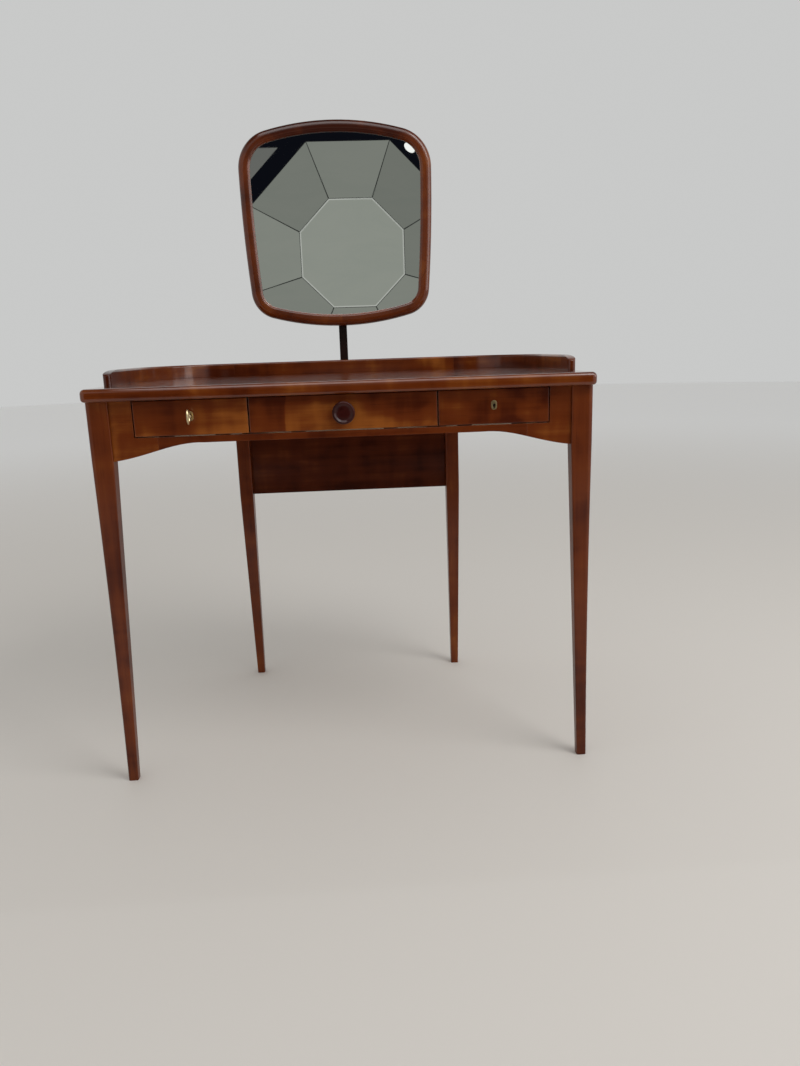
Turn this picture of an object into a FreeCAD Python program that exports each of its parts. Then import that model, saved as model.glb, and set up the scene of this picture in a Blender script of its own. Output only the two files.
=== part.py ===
"""A dressing table with a straight front, rounded rear corners, three drawers and a tilting mirror.

Millimetres. X runs to the sitter's right, Y to the back and Z up. Everything is drawn with Y = 0 at
the front edge of the top, and save() moves it so that the origin lies under the middle of the whole
object, on the floor. Pieces come in left and right pairs, so the right one is drawn and mirrored.
"""
import FreeCAD
import Part
import math
import os

Vector = FreeCAD.Vector

# Top board and its raised rim
TOP_WIDTH = 872.0
TOP_DEPTH = 524.0
TOP_HEIGHT = 722.0
TOP_THICKNESS = 22.0
TOP_EDGE_RADIUS = 8.0
UNDER_EDGE_RADIUS = 6.0
REAR_CORNER_RADIUS = 186.0
FRONT_CORNER_RADIUS = 9.0
RIM_INSET = 6.0
RIM_THICKNESS = 14.0
RIM_HEIGHT = 28.0
RIM_NOSE_HEIGHT = 17.0
RIM_NOSE_LENGTH = 68.0
RIM_FRONT = 120.0
RIM_EDGE_RADIUS = 4.0
RIM_END_RADIUS = 6.0
RIM_DOWEL_RADIUS = 3.0
RIM_DOWEL_DEPTH = 12.0

# Legs
LEG_SIDE_INSET = 2.5
LEG_FRONT_INSET = 15.0
LEG_WIDTH = 38.0
LEG_DEPTH = 29.0
FOOT_WIDTH = 18.0
FOOT_DEPTH = 17.0
LEG_ARRIS = 8.0
LEG_EDGE_RADIUS = 2.5
LEG_WAIST = 2.0
REAR_LEG_WIDTH = 30.0
REAR_LEG_DEPTH = 32.0
REAR_FOOT_WIDTH = 17.0
REAR_FOOT_DEPTH = 19.0
REAR_FOOT_INSET = 8.0
REAR_LEG_PAST_BEND = 7.0

# Aprons, rail and back panel
APRON_FRONT_INSET = 20.0
APRON_DEPTH = 102.0
APRON_THICKNESS = 14.0
APRON_INSET = 10.0
RAIL_HEIGHT = 11.5
RAIL_DEPTH = 50.0
RAIL_DROP = 63.0
ARCH_RUN = 155.5
ARCH_SHAPE = [(0.0, 0.0), (0.22, 0.05), (0.39, 0.23), (0.58, 0.51), (0.84, 0.86), (1.0, 1.0)]
END_PIECE_LENGTH = 77.5
END_PIECE_THICKNESS = 20.0
BACK_PANEL_HEIGHT = 252.0
BACK_PANEL_THICKNESS = 14.0
TENON_THICKNESS = 8.0
TENON_LENGTH = 14.0
TENON_SHOULDER = 10.0

# Drawers
SIDE_DRAWER_WIDTH = 192.8
STILE_WIDTH = 37.8
DRAWER_GAP = 2.0
FRONT_GAP = 1.5
FRONT_THICKNESS = 18.0
FRONT_EDGE_RADIUS = 1.6
SIDE_THICKNESS = 9.0
SIDE_HEIGHT = 46.0
BACK_DROP = 4.0
BOTTOM_THICKNESS = 4.0
BOTTOM_RISE = 8.0
GROOVE_DEPTH = 4.0
SLIDE_GAP = 0.3
SIDE_CLEARANCE = 1.0
DIVIDER_THICKNESS = 12.0
SIDE_DRAWER_END_GAP = 25.0
CENTRE_DRAWER_END_GAP = 26.0
RUNNER_WIDTH = 26.0
GUIDE_THICKNESS = 12.0
GUIDE_HEIGHT = 22.0
STOP_HEIGHT = 5.0
STOP_WIDTH = 24.0
STOP_LENGTH = 14.0
TAIL_LENGTH = 12.0
TAIL_COUNT = 3
TAIL_ROOT = 8.0
TAIL_FLARE = 2.5
DOVETAIL_MARGIN = 2.0

# Locks, key and knob
LOCK_BOTTOM_GAP = 5.7
LOCK_WIDTH = 44.0
LOCK_BELOW = 16.0
LOCK_THICKNESS = 10.0
LOCK_WALL = 2.0
KEY_SWEEP_CLEARANCE = 0.8
BOLT_WIDTH = 16.0
BOLT_THICKNESS = 5.0
BOLT_FOOT_GAP = 3.9
KEY_RADIUS = 2.2
KEY_RUNNING_CLEARANCE = 0.06
KEYHOLE_CLEARANCE = 0.5
KEY_BIT_LENGTH = 3.4
KEY_BIT_WIDTH = 4.0
KEY_BIT_THICKNESS = 2.0
KEY_BIT_CLEARANCE = 0.6
KEY_STEM_REACH = 13.0
KEY_COLLAR_EXTRA = 1.2
KEY_COLLAR_LENGTH = 2.0
KEY_COLLAR_PLACE = 3.0
BOW_HEIGHT = 25.0
BOW_DEPTH = 19.0
BOW_THICKNESS = 3.0
BOW_BAND = 4.0
ESCUTCHEON_WIDTH = 9.8
ESCUTCHEON_HEIGHT = 16.0
ESCUTCHEON_THICKNESS = 1.2
STRIKE_LENGTH = 34.0
STRIKE_WIDTH = 12.0
STRIKE_THICKNESS = 1.5
STRIKE_POCKET = 7.0
STRIKE_MARGIN = 6.0
KNOB_RADIUS = 19.5
KNOB_LENGTH = 25.0
KNOB_NECK_RADIUS = 8.0
KNOB_FOOT_RADIUS = 10.0
KNOB_FOOT_CHAMFER = 0.5
KNOB_FOOT_LENGTH = 1.5
KNOB_NECK_PLACE = 7.5
KNOB_SWELL = 3.2
KNOB_DISH = 4.0
KNOB_RIM = 3.0
KNOB_SCREW_RADIUS = 2.0
KNOB_SCREW_GRIP = 15.0

# Mirror, its post and its pivot
MIRROR_LIFT = 103.0
MIRROR_HEIGHT = 424.0
MIRROR_TOP_HALF = 206.5
MIRROR_BOTTOM_HALF = 193.0
MIRROR_SIDE_BULGE = 5.0
MIRROR_CROWN_RADIUS = 560.0
MIRROR_TOP_CORNER = 80.0
MIRROR_BOTTOM_CORNER = 60.0
FRAME_FACE = 25.0
FRAME_REBATE = 16.0
FRAME_DEPTH = 22.0
FRAME_LIP = 8.0
FRAME_ROUND = 12.5
FRAME_INNER_ROUND = 7.5
FRAME_REAR_ROUND = 3.0
GLASS_THICKNESS = 4.0
BACKBOARD_THICKNESS = 5.0
MIRROR_FROM_POST = 24.0
POST_WIDTH = 18.0
POST_THICKNESS = 14.0
POST_FOOT_RISE = 30.0
PIVOT_BOLT_RADIUS = 3.0
PIVOT_CLEARANCE = 0.05
PIVOT_SIDE_GAP = 0.1
WASHER_THICKNESS = 1.0
EAR_THICKNESS = 2.5
EAR_RADIUS = 7.0
BRACKET_PLATE = 2.5
BRACKET_WIDTH = 58.0
BRACKET_HEIGHT = 70.0
NUT_RADIUS = 9.0
NUT_LENGTH = 9.0
NUT_EDGE = 1.0
BOLT_HEAD_RADIUS = 6.0
BOLT_HEAD_LENGTH = 3.0

# Screws and blocks
SCREW_RADIUS = 1.75
SCREW_HEAD_RADIUS = 3.5
SCREW_TIP_RADIUS = 0.2
POST_SCREW_LENGTH = 24.0
POST_SCREW_SPACING = 82.0
POST_SCREW_COUNT = 3
BRACKET_SCREW_LENGTH = 6.5
CLIP_COUNT = 8
CLIP_LENGTH = 24.0
CLIP_SIZE = 5.0
TOP_SCREW_LENGTH = 30.0
BLOCK_SIZE = 22.0
BLOCK_LENGTH = 44.0

# Levels and places that follow from the dimensions above
UNDERSIDE = TOP_HEIGHT - TOP_THICKNESS
HALF_WIDTH = TOP_WIDTH / 2
LEG_OUTER = HALF_WIDTH - LEG_SIDE_INSET
LEG_INNER = LEG_OUTER - LEG_WIDTH
LEG_REAR = LEG_FRONT_INSET + LEG_DEPTH
APRON_BOTTOM = UNDERSIDE - APRON_DEPTH
RAIL_TOP = UNDERSIDE - RAIL_DROP
RAIL_BOTTOM = RAIL_TOP - RAIL_HEIGHT
BACK_PANEL_BOTTOM = UNDERSIDE - BACK_PANEL_HEIGHT
BACK_PANEL_FRONT = TOP_DEPTH - BACK_PANEL_THICKNESS
REAR_LEG_OUTER = HALF_WIDTH - REAR_CORNER_RADIUS + REAR_LEG_PAST_BEND
REAR_LEG_INNER = REAR_LEG_OUTER - REAR_LEG_WIDTH
REAR_LEG_FRONT = TOP_DEPTH - REAR_LEG_DEPTH
FRONT_FACE = APRON_FRONT_INSET
FRONT_REAR = FRONT_FACE + FRONT_THICKNESS
FRONT_BOTTOM = RAIL_TOP + FRONT_GAP
FRONT_TOP = UNDERSIDE - FRONT_GAP
STILE_INNER = LEG_INNER - STILE_WIDTH
SIDE_FRONT_OUTER = STILE_INNER - FRONT_GAP
SIDE_FRONT_INNER = SIDE_FRONT_OUTER - SIDE_DRAWER_WIDTH
CENTRE_FRONT_HALF = SIDE_FRONT_INNER - DRAWER_GAP
ARCH_START = LEG_INNER - ARCH_RUN
END_PIECE_START = LEG_INNER - END_PIECE_LENGTH
DIVIDER_MIDDLE = CENTRE_FRONT_HALF + DRAWER_GAP / 2
DIVIDER_INNER = DIVIDER_MIDDLE - DIVIDER_THICKNESS / 2
DIVIDER_OUTER = DIVIDER_MIDDLE + DIVIDER_THICKNESS / 2
DIVIDER_FRONT = FRONT_REAR + FRONT_GAP
GUIDE_FACE = STILE_INNER - SIDE_CLEARANCE
SIDE_BOX_OUTER = GUIDE_FACE - SIDE_CLEARANCE
INNER_BEND = REAR_CORNER_RADIUS - APRON_INSET - APRON_THICKNESS
BEND_START = TOP_DEPTH - REAR_CORNER_RADIUS
BOX_CORNER_OFFSET = SIDE_BOX_OUTER - (HALF_WIDTH - REAR_CORNER_RADIUS)
SIDE_DRAWER_REAR = BEND_START + math.sqrt(INNER_BEND ** 2 - BOX_CORNER_OFFSET ** 2) - SIDE_DRAWER_END_GAP
CENTRE_DRAWER_REAR = BACK_PANEL_FRONT - CENTRE_DRAWER_END_GAP
BOX_FLOOR = RAIL_TOP + SLIDE_GAP
PANEL_FLOOR = BOX_FLOOR + BOTTOM_RISE
LOCK_X = (SIDE_FRONT_INNER + SIDE_FRONT_OUTER) / 2
LOCK_Z = PANEL_FLOOR + BOTTOM_THICKNESS + LOCK_BOTTOM_GAP + LOCK_BELOW
LOCK_SWEEP_RADIUS = KEY_RADIUS + KEY_BIT_LENGTH + KEY_SWEEP_CLEARANCE
KNOB_Z = (FRONT_BOTTOM + FRONT_TOP) / 2
KNOB_TIP = FRONT_FACE - KNOB_LENGTH
POST_FRONT = TOP_DEPTH
PIVOT_Y = POST_FRONT + POST_THICKNESS / 2
POST_FOOT_HEIGHT = BACK_PANEL_BOTTOM + POST_FOOT_RISE
MIRROR_BOTTOM = TOP_HEIGHT + MIRROR_LIFT
PIVOT_Z = MIRROR_BOTTOM + MIRROR_HEIGHT / 2
MIRROR_BACK = POST_FRONT - MIRROR_FROM_POST
MIRROR_FRONT = MIRROR_BACK - FRAME_DEPTH
GLASS_FRONT = MIRROR_FRONT + FRAME_LIP
BOARD_FRONT = GLASS_FRONT + GLASS_THICKNESS
BOARD_BACK = BOARD_FRONT + BACKBOARD_THICKNESS
KEY_TIP = FRONT_FACE - ESCUTCHEON_THICKNESS - KEY_STEM_REACH - BOW_DEPTH + BOW_BAND
FRONT_EXTREME = min(KNOB_TIP, KEY_TIP, 0.0)
REAR_EXTREME = max(PIVOT_Y + NUT_RADIUS, POST_FRONT + POST_THICKNESS)
MIDDLE_Y = (FRONT_EXTREME + REAR_EXTREME) / 2


def save(name, shape):
    """Move a finished piece to the object's own origin and write it."""
    placed = shape.copy()
    placed.translate(Vector(0, -MIDDLE_Y, 0))
    placed.exportStep("parts/" + name + ".step")


def save_pair(name, right):
    """Write a right-hand piece, and its mirror image as the left-hand one."""
    save(name + "_right", right)
    save(name + "_left", mirrored(right))


def mirrored(shape):
    return shape.mirror(Vector(0, 0, 0), Vector(1, 0, 0))


def box(x0, x1, y0, y1, z0, z1):
    return Part.makeBox(x1 - x0, y1 - y0, z1 - z0, Vector(x0, y0, z0))


def rod(radius, length, start, direction):
    return Part.makeCylinder(radius, length, Vector(*start), Vector(*direction))


def joined(shapes):
    """Fuse touching shapes into one solid with clean faces."""
    return shapes[0].fuse(shapes[1:]).removeSplitter()


def without(shape, tools):
    """Cut every tool out of a shape."""
    for tool in tools:
        shape = shape.cut(tool)
    return shape


def group(solids):
    return Part.makeCompound(solids)


def both_sides(solids):
    """A group of right-hand pieces and their mirror images."""
    return group(solids + [mirrored(solid) for solid in solids])


def vertical_edges(shape):
    """The straight edges of a shape that stand along Z."""
    found = []
    for edge in shape.Edges:
        ends = [vertex.Point for vertex in edge.Vertexes]
        if len(ends) == 2 and (ends[0] - ends[1]).cross(Vector(0, 0, 1)).Length < 1e-6:
            found.append(edge)
    return found


def edges_at_level(shape, level):
    """The edges of a shape that lie wholly at one height."""
    return [e for e in shape.Edges if max(abs(e.BoundBox.ZMax - level), abs(e.BoundBox.ZMin - level)) < 1e-4]


def plan(inset, front, bottom, top):
    """A slab with the outline of the table in plan, drawn in all round by an inset."""
    side = HALF_WIDTH - inset
    back = TOP_DEPTH - inset
    turn = REAR_CORNER_RADIUS - inset
    centre_x = HALF_WIDTH - REAR_CORNER_RADIUS
    centre_y = TOP_DEPTH - REAR_CORNER_RADIUS
    diagonal = turn * math.sqrt(0.5)
    edges = [
        Part.makeLine(Vector(-side, front, bottom), Vector(side, front, bottom)),
        Part.makeLine(Vector(side, front, bottom), Vector(side, centre_y, bottom)),
        Part.Arc(Vector(side, centre_y, bottom), Vector(centre_x + diagonal, centre_y + diagonal, bottom),
                 Vector(centre_x, back, bottom)).toShape(),
        Part.makeLine(Vector(centre_x, back, bottom), Vector(-centre_x, back, bottom)),
        Part.Arc(Vector(-centre_x, back, bottom), Vector(-centre_x - diagonal, centre_y + diagonal, bottom),
                 Vector(-side, centre_y, bottom)).toShape(),
        Part.makeLine(Vector(-side, centre_y, bottom), Vector(-side, front, bottom)),
    ]
    return Part.Face(Part.Wire(edges)).extrude(Vector(0, 0, top - bottom))


def strip(outer_inset, thickness, bottom, top):
    """A band that follows the sides and the back of the plan and is open at the front."""
    beyond = -TOP_DEPTH
    hollow = plan(outer_inset + thickness, 2 * beyond, bottom, top)
    return plan(outer_inset, beyond, bottom, top).cut(hollow)


def screw(head, direction, length):
    """A countersunk wood screw with its head's face at a point, pointing in a direction."""
    start = Vector(*head)
    along = Vector(*direction)
    sink = SCREW_HEAD_RADIUS - SCREW_RADIUS
    cone = Part.makeCone(SCREW_HEAD_RADIUS, SCREW_RADIUS, sink, start, along)
    tip_length = 2 * SCREW_RADIUS
    shank = Part.makeCylinder(SCREW_RADIUS, length - sink - tip_length, start + along * sink, along)
    tip_start = start + along * (length - tip_length)
    tip = Part.makeCone(SCREW_RADIUS, SCREW_TIP_RADIUS, tip_length, tip_start, along)
    return joined([cone, shank, tip])


def corner_wire(x0, x1, y0, y1, radii, z):
    """A rectangle with four rounded corners, whose radii go round from (x0, y0) by way of (x1, y0)."""
    corners = [(x0, y0, 1, 1), (x1, y0, -1, 1), (x1, y1, -1, -1), (x0, y1, 1, -1)]
    arcs = []
    for index, (x, y, into_x, into_y) in enumerate(corners):
        radius = radii[index]
        near = radius * (1 - math.sqrt(0.5))
        along_x = Vector(x + into_x * radius, y, z)
        along_y = Vector(x, y + into_y * radius, z)
        middle = Vector(x + into_x * near, y + into_y * near, z)
        ends = (along_y, along_x) if index % 2 == 0 else (along_x, along_y)
        arcs.append((ends[0], middle, ends[1]))
    edges = []
    for index, (first, middle, last) in enumerate(arcs):
        edges.append(Part.Arc(first, middle, last).toShape())
        edges.append(Part.makeLine(last, arcs[(index + 1) % 4][0]))
    return Part.Wire(edges)


def make_leg(block, foot, radii, foot_radii, waist, shoulder):
    """A leg: a square block down to the shoulder, then a taper to the foot. Boxes are x0, x1, y0, y1."""
    middle = [(a + b) / 2 for a, b in zip(block, foot)]
    middle[1] -= waist
    middle_radii = [(a + b) / 2 for a, b in zip(radii, foot_radii)]
    head = corner_wire(*block, radii, shoulder)
    taper = Part.makeLoft([corner_wire(*foot, foot_radii, 0),
                           corner_wire(*middle, middle_radii, shoulder / 2), head], True, False)
    return joined([taper, Part.Face(head).extrude(Vector(0, 0, UNDERSIDE - shoulder))])


def make_top_board():
    slab = plan(0, 0, UNDERSIDE, TOP_HEIGHT)
    front_corners = [e for e in vertical_edges(slab) if e.BoundBox.YMax < 1e-3]
    slab = slab.makeFillet(FRONT_CORNER_RADIUS, front_corners)
    slab = slab.makeFillet(TOP_EDGE_RADIUS, edges_at_level(slab, TOP_HEIGHT))
    slab = slab.makeFillet(UNDER_EDGE_RADIUS, edges_at_level(slab, UNDERSIDE))
    return without(slab, [strike_pocket(), mirrored(strike_pocket())] + rim_dowels() + top_screws())


def rim_dowel_places():
    """Plan positions of the dowels that hold the raised rim, right-hand side and back."""
    middle = RIM_INSET + RIM_THICKNESS / 2
    turn = REAR_CORNER_RADIUS - middle
    centre_x = HALF_WIDTH - REAR_CORNER_RADIUS
    centre_y = TOP_DEPTH - REAR_CORNER_RADIUS
    diagonal = turn * math.sqrt(0.5)
    return [
        (HALF_WIDTH - middle, RIM_FRONT + 2 * RIM_THICKNESS),
        (HALF_WIDTH - middle, centre_y - RIM_THICKNESS),
        (centre_x + diagonal, centre_y + diagonal),
        (centre_x - RIM_THICKNESS, TOP_DEPTH - middle),
        (centre_x / 3, TOP_DEPTH - middle),
    ]


def rim_dowels():
    """Dowels that stand half in the top board and half in the rim."""
    start = TOP_HEIGHT - RIM_DOWEL_DEPTH
    pins = []
    for x, y in rim_dowel_places():
        for side in (-1, 1):
            pins.append(rod(RIM_DOWEL_RADIUS, 2 * RIM_DOWEL_DEPTH, (side * x, y, start), (0, 0, 1)))
    return pins


def rim_band(from_x, to_x):
    """A square-edged length of the rim between two places across the table."""
    band = strip(RIM_INSET, RIM_THICKNESS, TOP_HEIGHT, TOP_HEIGHT + RIM_HEIGHT)
    return band.common(box(from_x, to_x, RIM_FRONT, 2 * TOP_DEPTH, TOP_HEIGHT, TOP_HEIGHT + RIM_HEIGHT))


def rim_nose():
    """The side view of the rim: an elliptical nose that rises from the front end to full height."""
    base = TOP_HEIGHT
    nose_top = base + RIM_NOSE_HEIGHT
    crest = base + RIM_HEIGHT
    crest_y = RIM_FRONT + RIM_NOSE_LENGTH
    far = 2 * TOP_DEPTH
    centre = Vector(0, crest_y, nose_top)
    ellipse = Part.Ellipse(Vector(0, RIM_FRONT, nose_top), Vector(0, crest_y, crest), centre)
    wire = Part.Wire([
        Part.makeLine(Vector(0, RIM_FRONT, base), Vector(0, RIM_FRONT, nose_top)),
        quarter_of(ellipse, centre, crest),
        Part.makeLine(Vector(0, crest_y, crest), Vector(0, far, crest)),
        Part.makeLine(Vector(0, far, crest), Vector(0, far, base)),
        Part.makeLine(Vector(0, far, base), Vector(0, RIM_FRONT, base)),
    ])
    return Part.Face(wire).extrude(Vector(TOP_WIDTH, 0, 0))


def quarter_of(ellipse, centre, crest):
    """The arc of an ellipse from its front end to its crest."""
    front = ellipse.parameter(Vector(0, centre.y - RIM_NOSE_LENGTH, centre.z))
    top = ellipse.parameter(Vector(0, centre.y, crest))
    first, last = sorted((front, top))
    if last - first > math.pi:
        first, last = last, first + 2 * math.pi
    return ellipse.toShape(first, last)


def make_rim_side():
    """The right-hand rim: the straight side and the bent rear corner."""
    end_x = HALF_WIDTH - REAR_CORNER_RADIUS
    side = rim_band(end_x, TOP_WIDTH)
    front_corners = [e for e in vertical_edges(side) if e.BoundBox.YMax < RIM_FRONT + 1e-3]
    side = side.makeFillet(RIM_END_RADIUS, front_corners)
    crest = [e for e in edges_at_level(side, TOP_HEIGHT + RIM_HEIGHT) if e.BoundBox.XMax > end_x + 1e-3]
    side = side.makeFillet(RIM_EDGE_RADIUS, crest)
    return without(side.common(rim_nose()), rim_dowels())


def make_rim_back():
    end_x = HALF_WIDTH - REAR_CORNER_RADIUS
    back = rim_band(-end_x, end_x)
    upper = [e for e in edges_at_level(back, TOP_HEIGHT + RIM_HEIGHT) if e.BoundBox.XLength > 1]
    return without(back.makeFillet(RIM_EDGE_RADIUS, upper), rim_dowels())


def front_leg_blank():
    block = (LEG_INNER, LEG_OUTER, LEG_FRONT_INSET, LEG_REAR)
    foot = (LEG_OUTER - FOOT_WIDTH, LEG_OUTER, LEG_FRONT_INSET, LEG_FRONT_INSET + FOOT_DEPTH)
    radii = (LEG_EDGE_RADIUS, LEG_ARRIS, LEG_EDGE_RADIUS, LEG_EDGE_RADIUS)
    foot_radii = (LEG_EDGE_RADIUS, LEG_ARRIS / 2, LEG_EDGE_RADIUS, LEG_EDGE_RADIUS)
    return make_leg(block, foot, radii, foot_radii, LEG_WAIST, APRON_BOTTOM)


def rear_leg_blank():
    block = (REAR_LEG_INNER, REAR_LEG_OUTER, REAR_LEG_FRONT, TOP_DEPTH)
    foot_outer = REAR_LEG_OUTER - REAR_FOOT_INSET
    foot = (foot_outer - REAR_FOOT_WIDTH, foot_outer, TOP_DEPTH - REAR_FOOT_DEPTH, TOP_DEPTH)
    radii = (LEG_EDGE_RADIUS,) * 4
    return make_leg(block, foot, radii, radii, 0, BACK_PANEL_BOTTOM)


def side_apron_tenons():
    """Tongues on both ends of the right-hand side apron."""
    middle = HALF_WIDTH - APRON_INSET - APRON_THICKNESS / 2
    half = TENON_THICKNESS / 2
    low = APRON_BOTTOM + TENON_SHOULDER
    high = UNDERSIDE - TENON_SHOULDER
    front = box(middle - half, middle + half, LEG_REAR - TENON_LENGTH, LEG_REAR, low, high)
    middle_y = TOP_DEPTH - APRON_INSET - APRON_THICKNESS / 2
    rear = box(REAR_LEG_OUTER - TENON_LENGTH, REAR_LEG_OUTER, middle_y - half, middle_y + half, low, high)
    return [front, rear]


def make_side_apron():
    """The bent side apron, from the front leg round the corner to the rear leg."""
    band = strip(APRON_INSET, APRON_THICKNESS, APRON_BOTTOM, UNDERSIDE)
    reach = box(REAR_LEG_OUTER, TOP_WIDTH, LEG_REAR, 2 * TOP_DEPTH, APRON_BOTTOM, UNDERSIDE)
    return joined([band.common(reach)] + side_apron_tenons())


def back_panel_tenon():
    half = TENON_THICKNESS / 2
    middle = TOP_DEPTH - BACK_PANEL_THICKNESS / 2
    return box(REAR_LEG_INNER, REAR_LEG_INNER + TENON_LENGTH / 2, middle - half, middle + half,
               BACK_PANEL_BOTTOM + TENON_SHOULDER, UNDERSIDE - 2 * TENON_SHOULDER)


def make_back_panel():
    board = box(-REAR_LEG_INNER, REAR_LEG_INNER, BACK_PANEL_FRONT, TOP_DEPTH, BACK_PANEL_BOTTOM, UNDERSIDE)
    tenons = [back_panel_tenon(), mirrored(back_panel_tenon())]
    return without(joined([board] + tenons), post_screws())


def apron_profile():
    """The front apron below the drawers, seen from the front: thin in the middle, deeper by the legs."""
    drop = RAIL_BOTTOM - APRON_BOTTOM
    points = [Vector(ARCH_START + ARCH_RUN * u, FRONT_FACE, RAIL_BOTTOM - drop * v) for u, v in ARCH_SHAPE]
    curve = Part.BSplineCurve()
    curve.interpolate(points)
    wire = Part.Wire([
        curve.toShape(),
        Part.makeLine(points[-1], Vector(LEG_INNER, FRONT_FACE, RAIL_TOP)),
        Part.makeLine(Vector(LEG_INNER, FRONT_FACE, RAIL_TOP), Vector(0, FRONT_FACE, RAIL_TOP)),
        Part.makeLine(Vector(0, FRONT_FACE, RAIL_TOP), Vector(0, FRONT_FACE, RAIL_BOTTOM)),
        Part.makeLine(Vector(0, FRONT_FACE, RAIL_BOTTOM), points[0]),
    ])
    return Part.Face(wire).extrude(Vector(0, END_PIECE_THICKNESS, 0))


def end_piece_reach():
    return box(END_PIECE_START, LEG_INNER, 0, FRONT_FACE + END_PIECE_THICKNESS, 0, UNDERSIDE)


def make_front_end():
    """The piece between leg and side drawer: an upright stile with the deep end of the apron under it."""
    rear = FRONT_FACE + END_PIECE_THICKNESS
    stile = box(STILE_INNER, LEG_INNER, FRONT_FACE, rear, RAIL_TOP, UNDERSIDE)
    return joined([stile, apron_profile().common(end_piece_reach())])


def make_front_rail():
    """The rail under the drawers, in one length between the legs."""
    shaped = apron_profile().cut(end_piece_reach())
    rear = box(-LEG_INNER, LEG_INNER, FRONT_FACE + END_PIECE_THICKNESS, FRONT_FACE + RAIL_DEPTH,
               RAIL_BOTTOM, RAIL_TOP)
    return joined([shaped, mirrored(shaped), rear])


def make_divider():
    """An upright board between two drawers, housed round the front rail."""
    board = box(DIVIDER_INNER, DIVIDER_OUTER, DIVIDER_FRONT, BACK_PANEL_FRONT, RAIL_BOTTOM, UNDERSIDE)
    return board.cut(box(-LEG_INNER, LEG_INNER, 0, FRONT_FACE + RAIL_DEPTH, 0, RAIL_TOP))


def inside_aprons():
    return plan(APRON_INSET + APRON_THICKNESS, 0, 0, UNDERSIDE)


def runners():
    """The strips that the drawer sides slide on, level with the front rail: three on the right."""
    beside = RUNNER_WIDTH - GUIDE_THICKNESS
    fence = GUIDE_FACE + GUIDE_THICKNESS
    spans = [(DIVIDER_INNER - beside, DIVIDER_INNER, BACK_PANEL_FRONT),
             (DIVIDER_OUTER, DIVIDER_OUTER + beside, BACK_PANEL_FRONT),
             (fence - RUNNER_WIDTH, fence, TOP_DEPTH)]
    blanks = [box(x0, x1, FRONT_FACE + RAIL_DEPTH, rear, RAIL_BOTTOM, RAIL_TOP) for x0, x1, rear in spans]
    return [blank.common(inside_aprons()) for blank in blanks]


def make_outer_guide():
    """The fence beside the outer wall of a side drawer, standing on its runner."""
    blank = box(GUIDE_FACE, GUIDE_FACE + GUIDE_THICKNESS, FRONT_FACE + END_PIECE_THICKNESS, TOP_DEPTH,
                RAIL_TOP, RAIL_TOP + GUIDE_HEIGHT)
    return blank.common(inside_aprons())


def drawer_stops():
    """Two small blocks behind each drawer front, glued to the front rail."""
    side_middle = (SIDE_FRONT_INNER + SIDE_FRONT_OUTER) / 2
    side_half = (SIDE_FRONT_OUTER - SIDE_FRONT_INNER) / 2
    blocks = []
    for middle, half in ((-side_middle, side_half), (0, CENTRE_FRONT_HALF), (side_middle, side_half)):
        for side in (-1, 1):
            x = middle + side * (half / 2)
            front = FRONT_REAR + SLIDE_GAP
            blocks.append(box(x - STOP_WIDTH / 2, x + STOP_WIDTH / 2, front, front + STOP_LENGTH,
                              RAIL_TOP, RAIL_TOP + STOP_HEIGHT))
    return blocks


def glue_blocks():
    """Blocks under the top, right-hand side: two on the side apron, one between divider and back panel."""
    side_face = HALF_WIDTH - APRON_INSET - APRON_THICKNESS
    low = UNDERSIDE - BLOCK_SIZE
    front_y = LEG_REAR + BLOCK_LENGTH
    rear_y = BEND_START - BLOCK_LENGTH
    back_x = DIVIDER_INNER - BLOCK_LENGTH
    blocks = [box(side_face - BLOCK_SIZE, side_face, y, y + BLOCK_LENGTH, low, UNDERSIDE)
              for y in (front_y, rear_y)]
    blocks.append(box(back_x, back_x + BLOCK_LENGTH, BACK_PANEL_FRONT - BLOCK_SIZE, BACK_PANEL_FRONT,
                      low, UNDERSIDE))
    return blocks


def top_screws():
    """One screw up through each glue block into the top, both sides."""
    screws = []
    for block in glue_blocks():
        middle = block.BoundBox.Center
        for side in (-1, 1):
            head = (side * middle.x, middle.y, UNDERSIDE - BLOCK_SIZE)
            screws.append(screw(head, (0, 0, 1), TOP_SCREW_LENGTH))
    return screws


def tails(x0, x1, low, high):
    """Dovetails on the front end of a drawer side, seen from the side as flared tongues."""
    pitch = (high - low - 2 * DOVETAIL_MARGIN) / TAIL_COUNT
    shapes = []
    for index in range(TAIL_COUNT):
        middle = low + DOVETAIL_MARGIN + pitch * (index + 0.5)
        root = TAIL_ROOT / 2
        tip = root + TAIL_FLARE / 2
        front = FRONT_REAR - TAIL_LENGTH
        corners = [Vector(x0, FRONT_REAR, middle - root), Vector(x0, front, middle - tip),
                   Vector(x0, front, middle + tip), Vector(x0, FRONT_REAR, middle + root)]
        shapes.append(Part.Face(Part.makePolygon(corners + corners[:1])).extrude(Vector(x1 - x0, 0, 0)))
    return shapes


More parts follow.
